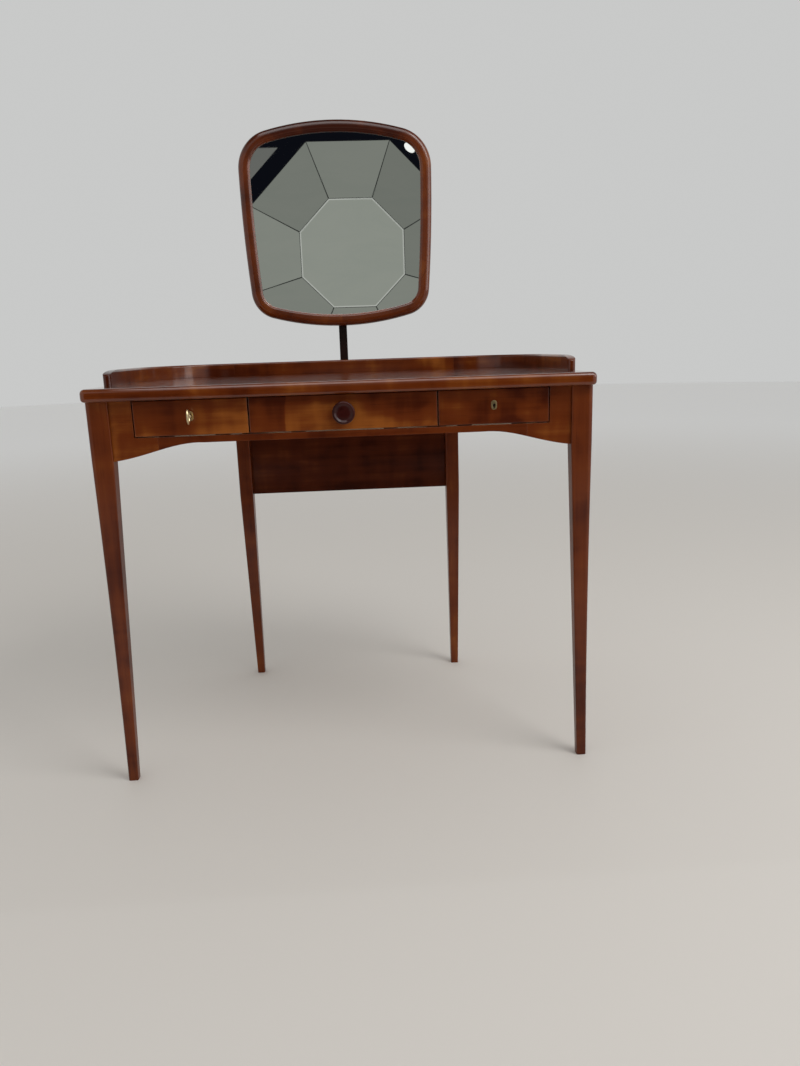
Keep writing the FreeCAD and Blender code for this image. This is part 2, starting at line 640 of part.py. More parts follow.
def make_drawer(name, front_x, box_x, rear, cuts):
    """Write the five boards of one drawer. The front and the box are given as left and right X."""
    low = BOX_FLOOR
    high = BOX_FLOOR + SIDE_HEIGHT
    inner = (box_x[0] + SIDE_THICKNESS, box_x[1] - SIDE_THICKNESS)
    bottom = box(inner[0] - GROOVE_DEPTH, inner[1] + GROOVE_DEPTH, FRONT_REAR - GROOVE_DEPTH, rear,
                 PANEL_FLOOR, PANEL_FLOOR + BOTTOM_THICKNESS)
    front = box(front_x[0], front_x[1], FRONT_FACE, FRONT_REAR, FRONT_BOTTOM, FRONT_TOP)
    face_edges = [e for e in front.Edges if e.BoundBox.YMax < FRONT_FACE + FRONT_EDGE_RADIUS]
    front = front.makeFillet(FRONT_EDGE_RADIUS, face_edges)
    for side, x0, x1 in (("left", box_x[0], inner[0]), ("right", inner[1], box_x[1])):
        wall_tails = tails(x0, x1, low, high)
        wall = joined([box(x0, x1, FRONT_REAR, rear, low, high)] + wall_tails).cut(bottom)
        save(name + "_side_" + side, wall)
        front = without(front, wall_tails)
    back = box(inner[0], inner[1], rear - SIDE_THICKNESS, rear, PANEL_FLOOR + BOTTOM_THICKNESS,
               high - BACK_DROP)
    save(name + "_front", without(front.cut(bottom), cuts))
    save(name + "_back", back)
    save(name + "_bottom", bottom)


def keyhole(extra, y0, y1):
    """The hole that a key passes through: a round eye and a slot for the bit, both with room round them."""
    eye = rod(KEY_RADIUS + extra, y1 - y0, (LOCK_X, y0, LOCK_Z), (0, 1, 0))
    half = KEY_BIT_THICKNESS / 2 + extra
    slot = box(LOCK_X - half, LOCK_X + half, y0, y1, LOCK_Z - KEY_BIT_LENGTH - KEY_RADIUS - extra, LOCK_Z)
    return joined([eye, slot])


def lock_blank():
    half = LOCK_WIDTH / 2
    return box(LOCK_X - half, LOCK_X + half, FRONT_REAR - LOCK_THICKNESS, FRONT_REAR,
               LOCK_Z - LOCK_BELOW, FRONT_TOP)


def bolt_blank():
    """The lock's bolt, drawn back flush with the top of the drawer front."""
    half = BOLT_WIDTH / 2
    front = FRONT_REAR - LOCK_WALL - BOLT_THICKNESS
    return box(LOCK_X - half, LOCK_X + half, front, front + BOLT_THICKNESS,
               LOCK_Z + LOCK_SWEEP_RADIUS + BOLT_FOOT_GAP, FRONT_TOP)


def make_lock_case():
    """A cut-in drawer lock: a case with room for the key's bit to turn and a way for the bolt."""
    chamber_front = FRONT_REAR - LOCK_THICKNESS + LOCK_WALL
    chamber_depth = LOCK_THICKNESS - 2 * LOCK_WALL
    chamber = rod(LOCK_SWEEP_RADIUS, chamber_depth, (LOCK_X, chamber_front, LOCK_Z), (0, 1, 0))
    mouth = keyhole(KEYHOLE_CLEARANCE, FRONT_REAR - LOCK_THICKNESS, chamber_front)
    pivot = rod(KEY_RADIUS + KEY_RUNNING_CLEARANCE, LOCK_WALL, (LOCK_X, FRONT_REAR - LOCK_WALL, LOCK_Z),
                (0, 1, 0))
    return without(lock_blank(), [chamber, mouth, pivot, bolt_blank()])


def escutcheon():
    """An oval brass plate round the keyhole."""
    half_gap = (ESCUTCHEON_HEIGHT - ESCUTCHEON_WIDTH) / 2
    radius = ESCUTCHEON_WIDTH / 2
    front = FRONT_FACE - ESCUTCHEON_THICKNESS
    ends = [rod(radius, ESCUTCHEON_THICKNESS, (LOCK_X, front, LOCK_Z + side * half_gap), (0, 1, 0))
            for side in (-1, 1)]
    middle = box(LOCK_X - radius, LOCK_X + radius, front, FRONT_FACE, LOCK_Z - half_gap, LOCK_Z + half_gap)
    return joined(ends + [middle]).cut(keyhole(KEYHOLE_CLEARANCE, front, FRONT_FACE))


def strike_plate_outline(height, margin):
    half = STRIKE_LENGTH / 2 - margin
    middle = FRONT_REAR - LOCK_WALL - BOLT_THICKNESS / 2
    depth = STRIKE_WIDTH / 2 - margin / 2
    return box(LOCK_X - half, LOCK_X + half, middle - depth, middle + depth, UNDERSIDE, UNDERSIDE + height)


def strike_pocket():
    """The recess in the underside of the top for the strike plate and the bolt's head."""
    mouth = strike_plate_outline(STRIKE_THICKNESS, 0)
    well = strike_plate_outline(STRIKE_POCKET, STRIKE_MARGIN)
    return joined([mouth, well])


def make_strike_plate():
    hole = strike_plate_outline(STRIKE_THICKNESS, STRIKE_MARGIN)
    return strike_plate_outline(STRIKE_THICKNESS, 0).cut(hole)


def make_key():
    """The key in the left-hand lock: a bow that stands upright, a round stem and a bit that hangs down."""
    x = -LOCK_X
    chamber_front = FRONT_REAR - LOCK_THICKNESS + LOCK_WALL
    bow_rear = FRONT_FACE - ESCUTCHEON_THICKNESS - KEY_STEM_REACH + BOW_BAND
    stem = rod(KEY_RADIUS, FRONT_REAR - LOCK_WALL / 2 - bow_rear + BOW_BAND / 2,
               (x, bow_rear - BOW_BAND / 2, LOCK_Z), (0, 1, 0))
    collar = rod(KEY_RADIUS + KEY_COLLAR_EXTRA, KEY_COLLAR_LENGTH, (x, bow_rear + KEY_COLLAR_PLACE, LOCK_Z),
                 (0, 1, 0))
    bit_front = chamber_front + KEY_BIT_CLEARANCE
    half = KEY_BIT_THICKNESS / 2
    bit = box(x - half, x + half, bit_front, bit_front + KEY_BIT_WIDTH,
              LOCK_Z - KEY_RADIUS - KEY_BIT_LENGTH, LOCK_Z)
    bow_middle = bow_rear - BOW_DEPTH / 2
    outline = bow_disc(x, bow_middle, BOW_DEPTH / 2, BOW_HEIGHT / 2, BOW_THICKNESS)
    opening = bow_disc(x, bow_middle, BOW_DEPTH / 2 - BOW_BAND, BOW_HEIGHT / 2 - BOW_BAND, 2 * BOW_THICKNESS)
    return joined([outline.cut(opening), without(stem, [opening]), collar, bit])


def bow_disc(x, middle, half_depth, half_height, thickness):
    """An upright oval plate across the sitter's line of sight, centred on the key's stem."""
    centre = Vector(x - thickness / 2, middle, LOCK_Z)
    oval = Part.Ellipse(centre + Vector(0, 0, half_height), centre + Vector(0, half_depth, 0), centre)
    return Part.Face(Part.Wire(oval.toShape())).extrude(Vector(thickness, 0, 0))


def make_knob():
    """The turned wooden knob: a waisted neck that opens to a round head with a dished face."""
    start = FRONT_FACE
    foot = (KNOB_FOOT_RADIUS - KNOB_FOOT_CHAMFER, start - KNOB_FOOT_LENGTH)
    neck = (KNOB_NECK_RADIUS, start - KNOB_NECK_PLACE)
    rim_back = (KNOB_RADIUS, KNOB_TIP + 2 * KNOB_RIM)
    swell = (KNOB_RADIUS * 0.7, rim_back[1] + KNOB_SWELL)
    rim_front = (KNOB_RADIUS, KNOB_TIP + KNOB_RIM)
    rim_turn = (KNOB_RADIUS - KNOB_RIM / 2, KNOB_TIP + KNOB_RIM / 10)
    lip = (KNOB_RADIUS - KNOB_RIM, KNOB_TIP)
    dish_side = (KNOB_RADIUS - 2 * KNOB_RIM, KNOB_TIP + KNOB_DISH / 2)
    dish_floor = (KNOB_RADIUS / 2.4, KNOB_TIP + KNOB_DISH)
    dish_middle = (0, KNOB_TIP + KNOB_DISH * 0.8)
    profile = [
        Part.makeLine(Vector(0, start, 0), Vector(KNOB_FOOT_RADIUS, start, 0)),
        Part.makeLine(Vector(KNOB_FOOT_RADIUS, start, 0), Vector(*foot, 0)),
        spline([foot, neck, swell, rim_back]),
        spline([rim_back, rim_front, rim_turn, lip]),
        spline([lip, dish_side, dish_floor, dish_middle]),
        Part.makeLine(Vector(*dish_middle, 0), Vector(0, start, 0)),
    ]
    turned = Part.Face(Part.Wire(profile)).revolve(Vector(0, 0, 0), Vector(0, 1, 0), 360)
    turned.translate(Vector(0, 0, KNOB_Z))
    return turned.cut(knob_screw())


def spline(points):
    """A smooth profile curve through radius and Y pairs."""
    curve = Part.BSplineCurve()
    curve.interpolate([Vector(radius, y, 0) for radius, y in points])
    return curve.toShape()


def knob_screw():
    """A round-headed screw from inside the drawer into the knob."""
    head = rod(2 * KNOB_SCREW_RADIUS, KNOB_SCREW_RADIUS, (0, FRONT_REAR, KNOB_Z), (0, 1, 0))
    shank = rod(KNOB_SCREW_RADIUS, FRONT_THICKNESS + KNOB_SCREW_GRIP,
                (0, FRONT_FACE - KNOB_SCREW_GRIP, KNOB_Z), (0, 1, 0))
    return joined([head, shank])


def mirror_outline():
    """The mirror frame's outer outline: crowned top and bottom, bowed sides and round corners."""
    top = MIRROR_BOTTOM + MIRROR_HEIGHT
    top_corner = top - MIRROR_TOP_HALF ** 2 / (2 * MIRROR_CROWN_RADIUS)
    low_corner = MIRROR_BOTTOM + MIRROR_BOTTOM_HALF ** 2 / (2 * MIRROR_CROWN_RADIUS)
    middle_half = (MIRROR_TOP_HALF + MIRROR_BOTTOM_HALF) / 2 + MIRROR_SIDE_BULGE
    y = MIRROR_FRONT
    corners = [Vector(MIRROR_BOTTOM_HALF, y, low_corner), Vector(MIRROR_TOP_HALF, y, top_corner),
               Vector(-MIRROR_TOP_HALF, y, top_corner), Vector(-MIRROR_BOTTOM_HALF, y, low_corner)]
    middles = [Vector(middle_half, y, (top_corner + low_corner) / 2), Vector(0, y, top),
               Vector(-middle_half, y, (top_corner + low_corner) / 2), Vector(0, y, MIRROR_BOTTOM)]
    edges = [Part.Arc(corners[i], middles[i], corners[(i + 1) % 4]).toShape() for i in range(4)]
    blank = Part.Face(Part.Wire(edges)).extrude(Vector(0, FRAME_DEPTH, 0))
    sharp = [e for e in blank.Edges if len(e.Vertexes) == 2
             and abs(e.BoundBox.YLength - FRAME_DEPTH) < 0.1 and e.BoundBox.ZLength < 0.1]
    upper = [e for e in sharp if e.BoundBox.ZMin > PIVOT_Z]
    lower = [e for e in sharp if e.BoundBox.ZMin < PIVOT_Z]
    rounded = blank.makeFillet(MIRROR_TOP_CORNER, upper)
    lower = [e for e in rounded.Edges if any(same_place(e, old) for old in lower)]
    rounded = rounded.makeFillet(MIRROR_BOTTOM_CORNER, lower)
    faces = [f for f in rounded.Faces if f.BoundBox.YMax < MIRROR_FRONT + 0.01]
    return faces[0].OuterWire


def same_place(edge, other):
    return (edge.CenterOfMass - other.CenterOfMass).Length < 0.01


def mirror_slab(inset, y0, y1):
    """A slab with the mirror's outline, drawn in all round by an inset."""
    wire = mirror_outline()
    if inset > 0:
        wire = redrawn(wire.makeOffset2D(-inset))
    face = Part.Face(wire)
    face.translate(Vector(0, y0 - MIRROR_FRONT, 0))
    return face.extrude(Vector(0, y1 - y0, 0))


def redrawn(wire):
    """The same closed wire of arcs, drawn afresh so that its ends meet exactly."""
    edges = wire.OrderedEdges
    ends = []
    for index, edge in enumerate(edges):
        following = edges[(index + 1) % len(edges)]
        points = [vertex.Point for vertex in edge.Vertexes]
        others = [vertex.Point for vertex in following.Vertexes]
        ends.append(min(points, key=lambda point: min((point - other).Length for other in others)))
    arcs = []
    for index, edge in enumerate(edges):
        middle = edge.valueAt((edge.FirstParameter + edge.LastParameter) / 2)
        arcs.append(Part.Arc(ends[index - 1], middle, ends[index]).toShape())
    return Part.Wire(arcs)


def make_mirror_frame():
    """The rounded wooden frame, rebated from behind for the glass and its backboard."""
    ring = mirror_slab(0, MIRROR_FRONT, MIRROR_BACK).cut(mirror_slab(FRAME_FACE, MIRROR_FRONT, MIRROR_BACK))
    front = [e for e in ring.Edges if e.BoundBox.YMax < MIRROR_FRONT + 0.01]
    rear = [e for e in ring.Edges if e.BoundBox.YMin > MIRROR_BACK - 0.01]
    outer_wire = mirror_outline()
    outer_front = [e for e in front if e.distToShape(outer_wire)[0] < 0.05]
    inner_front = [e for e in front if e.distToShape(outer_wire)[0] > FRAME_FACE / 2]
    outer_rear = [e for e in rear if e.distToShape(outer_wire)[0] < FRAME_DEPTH + 0.05]
    ring = ring.makeFillet(FRAME_ROUND, outer_front)
    ring = ring.makeFillet(FRAME_INNER_ROUND, matching(ring, inner_front))
    ring = ring.makeFillet(FRAME_REAR_ROUND, matching(ring, outer_rear))
    return ring.cut(mirror_slab(FRAME_REBATE, GLASS_FRONT, MIRROR_BACK))


def matching(shape, edges):
    """The edges of a changed shape that still lie where the given ones lay."""
    return [e for e in shape.Edges if any(same_place(e, old) for old in edges)]


def bracket_ears():
    """The X spans of the two ears beside the post: washer room, then the ear."""
    inner = POST_WIDTH / 2 + PIVOT_SIDE_GAP + WASHER_THICKNESS
    return [(-inner - EAR_THICKNESS, -inner), (inner, inner + EAR_THICKNESS)]


def make_pivot_bracket():
    """A brass plate on the mirror's back with two ears that reach back to the pivot."""
    half = BRACKET_WIDTH / 2
    high = BRACKET_HEIGHT / 2
    plate = box(-half, half, BOARD_BACK, BOARD_BACK + BRACKET_PLATE, PIVOT_Z - high, PIVOT_Z + high)
    corners = [e for e in plate.Edges if e.BoundBox.YLength > BRACKET_PLATE / 2]
    shapes = [plate.makeFillet(EAR_RADIUS, corners)]
    for x0, x1 in bracket_ears():
        shapes.append(box(x0, x1, BOARD_BACK + BRACKET_PLATE / 2, PIVOT_Y,
                          PIVOT_Z - EAR_RADIUS, PIVOT_Z + EAR_RADIUS))
        shapes.append(rod(EAR_RADIUS, EAR_THICKNESS, (x0, PIVOT_Y, PIVOT_Z), (1, 0, 0)))
    hole = rod(PIVOT_BOLT_RADIUS, 2 * POST_WIDTH, (-POST_WIDTH, PIVOT_Y, PIVOT_Z), (1, 0, 0))
    return without(joined(shapes), [hole] + bracket_screws())


def pivot_washers():
    """Two fibre washers between the ears and the post."""
    start = POST_WIDTH / 2 + PIVOT_SIDE_GAP
    rings = []
    for x in (-start - WASHER_THICKNESS, start):
        disc = rod(EAR_RADIUS, WASHER_THICKNESS, (x, PIVOT_Y, PIVOT_Z), (1, 0, 0))
        rings.append(disc.cut(rod(PIVOT_BOLT_RADIUS, WASHER_THICKNESS, (x, PIVOT_Y, PIVOT_Z), (1, 0, 0))))
    return rings


def make_pivot_bolt():
    """The bolt across the post, with a round head on the sitter's right."""
    reach = bracket_ears()[1][1]
    end = reach + NUT_LENGTH - NUT_EDGE
    shank = rod(PIVOT_BOLT_RADIUS, end + reach, (-end, PIVOT_Y, PIVOT_Z), (1, 0, 0))
    head = rod(BOLT_HEAD_RADIUS, BOLT_HEAD_LENGTH, (reach, PIVOT_Y, PIVOT_Z), (1, 0, 0))
    outer_edges = [e for e in head.Edges if e.BoundBox.XMin > reach + BOLT_HEAD_LENGTH / 2]
    head = head.makeFillet(BOLT_HEAD_LENGTH / 2, outer_edges)
    return joined([shank, head])


def make_pivot_nut():
    """The brass nut that sets how stiffly the mirror tilts."""
    start = bracket_ears()[0][0] - NUT_LENGTH
    body = rod(NUT_RADIUS, NUT_LENGTH, (start, PIVOT_Y, PIVOT_Z), (1, 0, 0))
    rims = [e for e in body.Edges if e.BoundBox.XLength < 0.01]
    return body.makeFillet(NUT_EDGE, rims).cut(make_pivot_bolt())


def make_post():
    """The flat upright bar screwed to the back of the table, with a rounded head."""
    half = POST_WIDTH / 2
    rear = POST_FRONT + POST_THICKNESS
    bar = box(-half, half, POST_FRONT, rear, POST_FOOT_HEIGHT, PIVOT_Z)
    head = rod(POST_THICKNESS / 2, POST_WIDTH, (-half, PIVOT_Y, PIVOT_Z), (1, 0, 0))
    hole = rod(PIVOT_BOLT_RADIUS + PIVOT_CLEARANCE, POST_WIDTH, (-half, PIVOT_Y, PIVOT_Z), (1, 0, 0))
    return without(joined([bar, head]), [hole] + post_screws())


def post_screws():
    rear = POST_FRONT + POST_THICKNESS
    lowest = POST_FOOT_HEIGHT + POST_SCREW_SPACING / 4
    return [screw((0, rear, lowest + index * POST_SCREW_SPACING), (0, -1, 0), POST_SCREW_LENGTH)
            for index in range(POST_SCREW_COUNT)]


def bracket_screws():
    """Four short screws through the bracket into the backboard."""
    across = BRACKET_WIDTH / 2 - EAR_RADIUS
    up = BRACKET_HEIGHT / 2 - EAR_RADIUS
    rear = BOARD_BACK + BRACKET_PLATE
    return [screw((side * across, rear, PIVOT_Z + level * up), (0, -1, 0), BRACKET_SCREW_LENGTH)
            for side in (-1, 1) for level in (-1, 1)]


def board_clips():
    """Small wooden wedges glued in the rebate behind the backboard, which hold it and the glass."""
    wire = mirror_outline().makeOffset2D(-FRAME_REBATE)
    wedges = []
    for point in wire.discretize(Number=CLIP_COUNT + 1)[:-1]:
        cube = box(-CLIP_LENGTH / 2, CLIP_LENGTH / 2, BOARD_BACK, BOARD_BACK + CLIP_SIZE, 0, CLIP_SIZE)
        outward = math.degrees(math.atan2(point.z - PIVOT_Z, point.x))
        cube.rotate(Vector(0, 0, 0), Vector(0, 1, 0), -outward - 90)
        cube.translate(Vector(point.x, 0, point.z))
        wedges.append(cube.common(mirror_slab(FRAME_REBATE, BOARD_BACK, MIRROR_BACK)))
    return wedges


def save_table():
    save("top_board", make_top_board())
    save("rim_back", make_rim_back())
    save_pair("rim", make_rim_side())
    save("rim_dowels", group(rim_dowels()))
    apron_tenons = side_apron_tenons()
    save_pair("front_leg", without(front_leg_blank(), apron_tenons))
    save_pair("rear_leg", without(rear_leg_blank(), apron_tenons + [back_panel_tenon()]))
    save_pair("side_apron", make_side_apron())
    save("back_panel", make_back_panel())
    save("front_rail", make_front_rail())
    save_pair("front_end_piece", make_front_end())
    save_pair("drawer_divider", make_divider())
    save("drawer_runners", both_sides(runners()))
    save("drawer_guides", both_sides([make_outer_guide()]))
    save("drawer_stops", group(drawer_stops()))
    save("glue_blocks", both_sides([block.cut(group(top_screws())) for block in glue_blocks()]))
    save("top_screws", group(top_screws()))
    save("strike_plates", both_sides([make_strike_plate()]))


def save_drawers():
    centre_half = DIVIDER_INNER - SIDE_CLEARANCE
    make_drawer("centre_drawer", (-CENTRE_FRONT_HALF, CENTRE_FRONT_HALF), (-centre_half, centre_half),
                CENTRE_DRAWER_REAR, [knob_screw()])
    lock_cut = [lock_blank(), keyhole(KEYHOLE_CLEARANCE, FRONT_FACE, FRONT_REAR)]
    box_inner = DIVIDER_OUTER + SIDE_CLEARANCE
    make_drawer("right_drawer", (SIDE_FRONT_INNER, SIDE_FRONT_OUTER), (box_inner, SIDE_BOX_OUTER),
                SIDE_DRAWER_REAR, lock_cut)
    make_drawer("left_drawer", (-SIDE_FRONT_OUTER, -SIDE_FRONT_INNER), (-SIDE_BOX_OUTER, -box_inner),
                SIDE_DRAWER_REAR, [mirrored(cut) for cut in lock_cut])
    save_pair("lock_case", make_lock_case())
    save_pair("lock_bolt", bolt_blank())
    save_pair("escutcheon", escutcheon())
    save("key", make_key())
    save("knob", make_knob())
    save("knob_screw", knob_screw())


def save_mirror():
    save("mirror_frame", make_mirror_frame())
    save("mirror_glass", mirror_slab(FRAME_REBATE, GLASS_FRONT, BOARD_FRONT))
    board = mirror_slab(FRAME_REBATE, BOARD_FRONT, BOARD_BACK)
    save("mirror_backboard", without(board, bracket_screws()))
    save("backboard_clips", group(board_clips()))
    save("pivot_bracket", make_pivot_bracket())
    save("bracket_screws", group(bracket_screws()))
    save("pivot_washers", group(pivot_washers()))
    save("pivot_bolt", make_pivot_bolt())
    save("pivot_nut", make_pivot_nut())
    save("mirror_post", make_post())
    save("post_screws", group(post_screws()))


os.makedirs("parts", exist_ok=True)
save_table()
save_drawers()
save_mirror()
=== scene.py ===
import math
import bmesh
import bpy
from mathutils import Matrix, Vector


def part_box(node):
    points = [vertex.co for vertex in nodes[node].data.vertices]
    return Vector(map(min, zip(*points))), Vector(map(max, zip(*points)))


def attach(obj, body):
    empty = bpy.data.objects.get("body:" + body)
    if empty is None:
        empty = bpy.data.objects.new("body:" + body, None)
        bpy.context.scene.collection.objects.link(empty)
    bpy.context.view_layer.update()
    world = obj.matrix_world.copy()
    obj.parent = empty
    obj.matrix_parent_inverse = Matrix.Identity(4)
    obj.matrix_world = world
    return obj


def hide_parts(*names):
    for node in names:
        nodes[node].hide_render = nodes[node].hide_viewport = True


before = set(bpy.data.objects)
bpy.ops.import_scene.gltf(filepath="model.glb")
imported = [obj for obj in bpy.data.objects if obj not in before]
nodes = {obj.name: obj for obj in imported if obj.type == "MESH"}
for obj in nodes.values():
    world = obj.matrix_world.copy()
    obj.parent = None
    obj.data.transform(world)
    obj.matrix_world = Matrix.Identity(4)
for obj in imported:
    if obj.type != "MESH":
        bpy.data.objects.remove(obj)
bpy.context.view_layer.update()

# ---------------------------------------------------------------------------------------------
# The viewpoint. It stands in front of the drawers, a little right of their middle and just
# above the top, tipped down so that the mirror and all four feet are in view.
# ---------------------------------------------------------------------------------------------
EYE_PLACE = Vector((0.0203, -1.6339, 0.7721))
EYE_TURN = math.radians(-2.865)
EYE_TIP = math.radians(13.0)
EYE_ROLL = math.radians(-1.896)
EYE_LENS = 27.05
EYE_FILM = 36.0
LEVEL = math.radians(90)

eye = bpy.data.objects.new("eye", bpy.data.cameras.new("eye"))
bpy.context.scene.collection.objects.link(eye)
bpy.context.scene.camera = eye
eye.data.sensor_width = EYE_FILM
eye.data.lens = EYE_LENS
eye.matrix_world = (
    Matrix.Translation(EYE_PLACE)
    @ Matrix.Rotation(EYE_TURN, 4, "Z")
    @ Matrix.Rotation(LEVEL - EYE_TIP, 4, "X")
    @ Matrix.Rotation(EYE_ROLL, 4, "Z")
)
bpy.context.scene.view_settings.view_transform = "Standard"

# ---------------------------------------------------------------------------------------------
# The studio: a plain pale floor, painted paler away from the table as painted light, under a pale
# sky and one large soft lamp high on the right. Dark sheets, bright panels and an eight-sided soft
# box stand round it and only show in reflections.
# ---------------------------------------------------------------------------------------------
FLOOR_RADIUS = 14.0
FLOOR_NEAR = (0.72, 0.68, 0.635)
FLOOR_FAR = (0.93, 0.92, 0.91)
FLOOR_FADE = (1.2, 7.0)
FLOOR_ROUGHNESS = 0.6
FLOOR_SHINE = 0.2
SKY_COLOUR = (0.60, 0.605, 0.60)
SKY_STRENGTH = 0.97
LAMP_PLACE = Vector((1.9, -1.5, 2.9))
LAMP_AIM = Vector((0.0, 0.0, 0.5))
LAMP_SIZE = 1.8
LAMP_POWER = 40.0
CURTAIN_COLOUR = (0.0035, 0.004, 0.0065)
CEILING_COLOUR = (0.03, 0.03, 0.03)
PANEL_COLOUR = (2.8, 2.75, 2.75)
FADE_COLOUR = (0.58, 0.585, 0.58)
FADE_END = 1.5
SHEET_HALF = 0.5
SOFT_BOX_PLACE = -3.0
SOFT_BOX_INNER = (0.046, 1.335, 0.31)
SOFT_BOX_OUTER = (0.045, 1.37, 0.59)
SOFT_BOX_FRONT = 0.268
SOFT_BOX_SIDES = (0.175, 0.165, 0.198, 0.182, 0.228, 0.205, 0.212, 0.215)
TAPE, SEAM, FRONT, SIDES = range(4)
TAPE_WIDTH = 0.008
TAPE_COLOUR = (0.42, 0.43, 0.40)
SEAM_WIDTH = 0.004
SEAM_COLOUR = (0.03, 0.032, 0.03)
CLOTH_TINT = (1.0, 1.05, 0.935)
SIDE_SHEET_MIDDLE = -0.7
SIDE_SHEET_GAP = 0.095
SIDE_SHEET_TOP = 1.93
SIDE_SHEET_GREY = (0.135, 0.137, 0.128)
BULB_PLACE = (0.405, -3.0, 1.915)
BULB_RADIUS = 0.036
BULB_FLATNESS = 0.6
BULB_LEAN = -40
BULB_COLOUR = (0.95, 0.95, 0.93)
EDGE_SAMPLES = 4
EDGE_SHARPNESS = (0.985, 0.80)


def new_mesh(name, shape):
    """A mesh object from a finished bmesh, sitting at the origin."""
    mesh = bpy.data.meshes.new(name)
    shape.to_mesh(mesh)
    shape.free()
    made = bpy.data.objects.new(name, mesh)
    bpy.context.scene.collection.objects.link(made)
    return made


def lean(shape, axis, degrees, verts=None):
    """Turn a bmesh, or some of its verts, about an axis through the origin."""
    turn = Matrix.Rotation(math.radians(degrees), 3, axis)
    bmesh.ops.rotate(shape, matrix=turn, verts=verts or shape.verts)


def glow(name, colour):
    """A surface with a brightness of its own, for studio gear."""
    made = bpy.data.materials.new(name)
    made.use_nodes = True
    tree = made.node_tree
    tree.nodes.clear()
    lit = tree.nodes.new("ShaderNodeEmission")
    lit.inputs["Color"].default_value = (*colour, 1.0)
    out = tree.nodes.new("ShaderNodeOutputMaterial")
    tree.links.new(lit.outputs[0], out.inputs["Surface"])
    return made


def only_in_reflections(thing):
    """Hide a piece of studio gear from everything but glossy surfaces."""
    thing.visible_camera = False
    thing.visible_diffuse = False
    thing.visible_shadow = False
    thing.visible_transmission = False
    thing.visible_volume_scatter = False


class Recipe:
    """A material under construction: its node tree, with short ways to add and join nodes."""

    def __init__(self, name):
        self.material = bpy.data.materials.new(name)
        self.material.use_nodes = True
        self.tree = self.material.node_tree
        self.shader = self.tree.nodes["Principled BSDF"]
        self.place = self.tree.nodes.new("ShaderNodeTexCoord").outputs["Object"]

    def add(self, kind, **inputs):
        """A new node. An input is named, or numbered as _0, _1 and so on."""
        node = self.tree.nodes.new(kind)
        for key, value in inputs.items():
            self.set(node.inputs[int(key[1:])] if key[1:].isdigit() else node.inputs[key], value)
        return node

    def set(self, socket, value):
        """Join a socket to another node's socket, or give it a fixed value."""
        if isinstance(value, bpy.types.NodeSocket):
            self.tree.links.new(value, socket)
        else:
            socket.default_value = value

    def calc(self, operation, *values):
        node = self.add("ShaderNodeMath", **{f"_{i}": value for i, value in enumerate(values)})
        node.operation = operation
        return node.outputs[0]

    def stretched(self, vector, along, across):
        """A place scaled to lumps for each metre, along the fibres and across them."""
        node = self.add("ShaderNodeVectorMath", _0=vector, _1=(along, across, across))
        node.operation = "MULTIPLY"
        return node.outputs[0]

    def cloud(self, vector, detail=2.0, rough=0.5, bent=0.0):
        """Noise from 0 to 1 with one lump for each unit of the vector."""
        node = self.add("ShaderNodeTexNoise", Vector=vector, Scale=1.0, Detail=detail, Roughness=rough,
                        Distortion=bent)
        return node.outputs["Fac"]

    def spread(self, value, low, high, to_low=0.0, to_high=1.0):
        """A smooth step from to_low, where the value is low, to to_high, where it is high."""
        node = self.add("ShaderNodeMapRange", Value=value)
        node.interpolation_type = "SMOOTHSTEP"
        node.inputs["From Min"].default_value = low
        node.inputs["From Max"].default_value = high
        node.inputs["To Min"].default_value = to_low
        node.inputs["To Max"].default_value = to_high
        return node.outputs["Result"]

    def blend(self, share, first, second):
        node = self.tree.nodes.new("ShaderNodeMix")
        node.data_type = "RGBA"
        sockets = {"Factor": node.inputs[0], "A": node.inputs[6], "B": node.inputs[7]}
        for key, value in (("Factor", share), ("A", first), ("B", second)):
            if isinstance(value, tuple):
                value = (*value, 1.0)
            self.set(sockets[key], value)
        return node.outputs[2]

    def arris(self, radius):
        """How much of an edge a spot is, from 0 on a flat to 1 on an arris, and its rounded normal."""
        rounded = self.add("ShaderNodeBevel", Radius=radius)
        rounded.samples = EDGE_SAMPLES
        flat = self.tree.nodes.new("ShaderNodeNewGeometry").outputs["Normal"]
        node = self.add("ShaderNodeVectorMath", _0=rounded.outputs[0], _1=flat)
        node.operation = "DOT_PRODUCT"
        return self.spread(node.outputs["Value"], *EDGE_SHARPNESS), rounded.outputs[0]

    def raise_bumps(self, height, strength, distance, normal):
        """Give the surface fine relief on top of its rounded normal."""
        bump = self.add("ShaderNodeBump", Strength=strength, Distance=distance, Height=height, Normal=normal)
        self.set(self.shader.inputs["Normal"], bump.outputs[0])


def fading_glow(name, colour, middle, radii):
    """A glow that turns as pale as the sky outside an oval, so that no hard edge shows in the mirror."""
    made = Recipe(name)
    offset = made.add("ShaderNodeVectorMath", _0=made.place, _1=middle)
    offset.operation = "SUBTRACT"
    share = made.add("ShaderNodeVectorMath", _0=offset.outputs[0], _1=radii)
    share.operation = "DIVIDE"
    reach = made.add("ShaderNodeVectorMath", _0=share.outputs[0])
    reach.operation = "LENGTH"
    paleness = made.spread(reach.outputs["Value"], 1.0, FADE_END)
    lit = made.add("ShaderNodeEmission", Color=made.blend(paleness, colour, FADE_COLOUR))
    made.tree.links.new(lit.outputs[0], made.tree.nodes["Material Output"].inputs["Surface"])
    return made.material


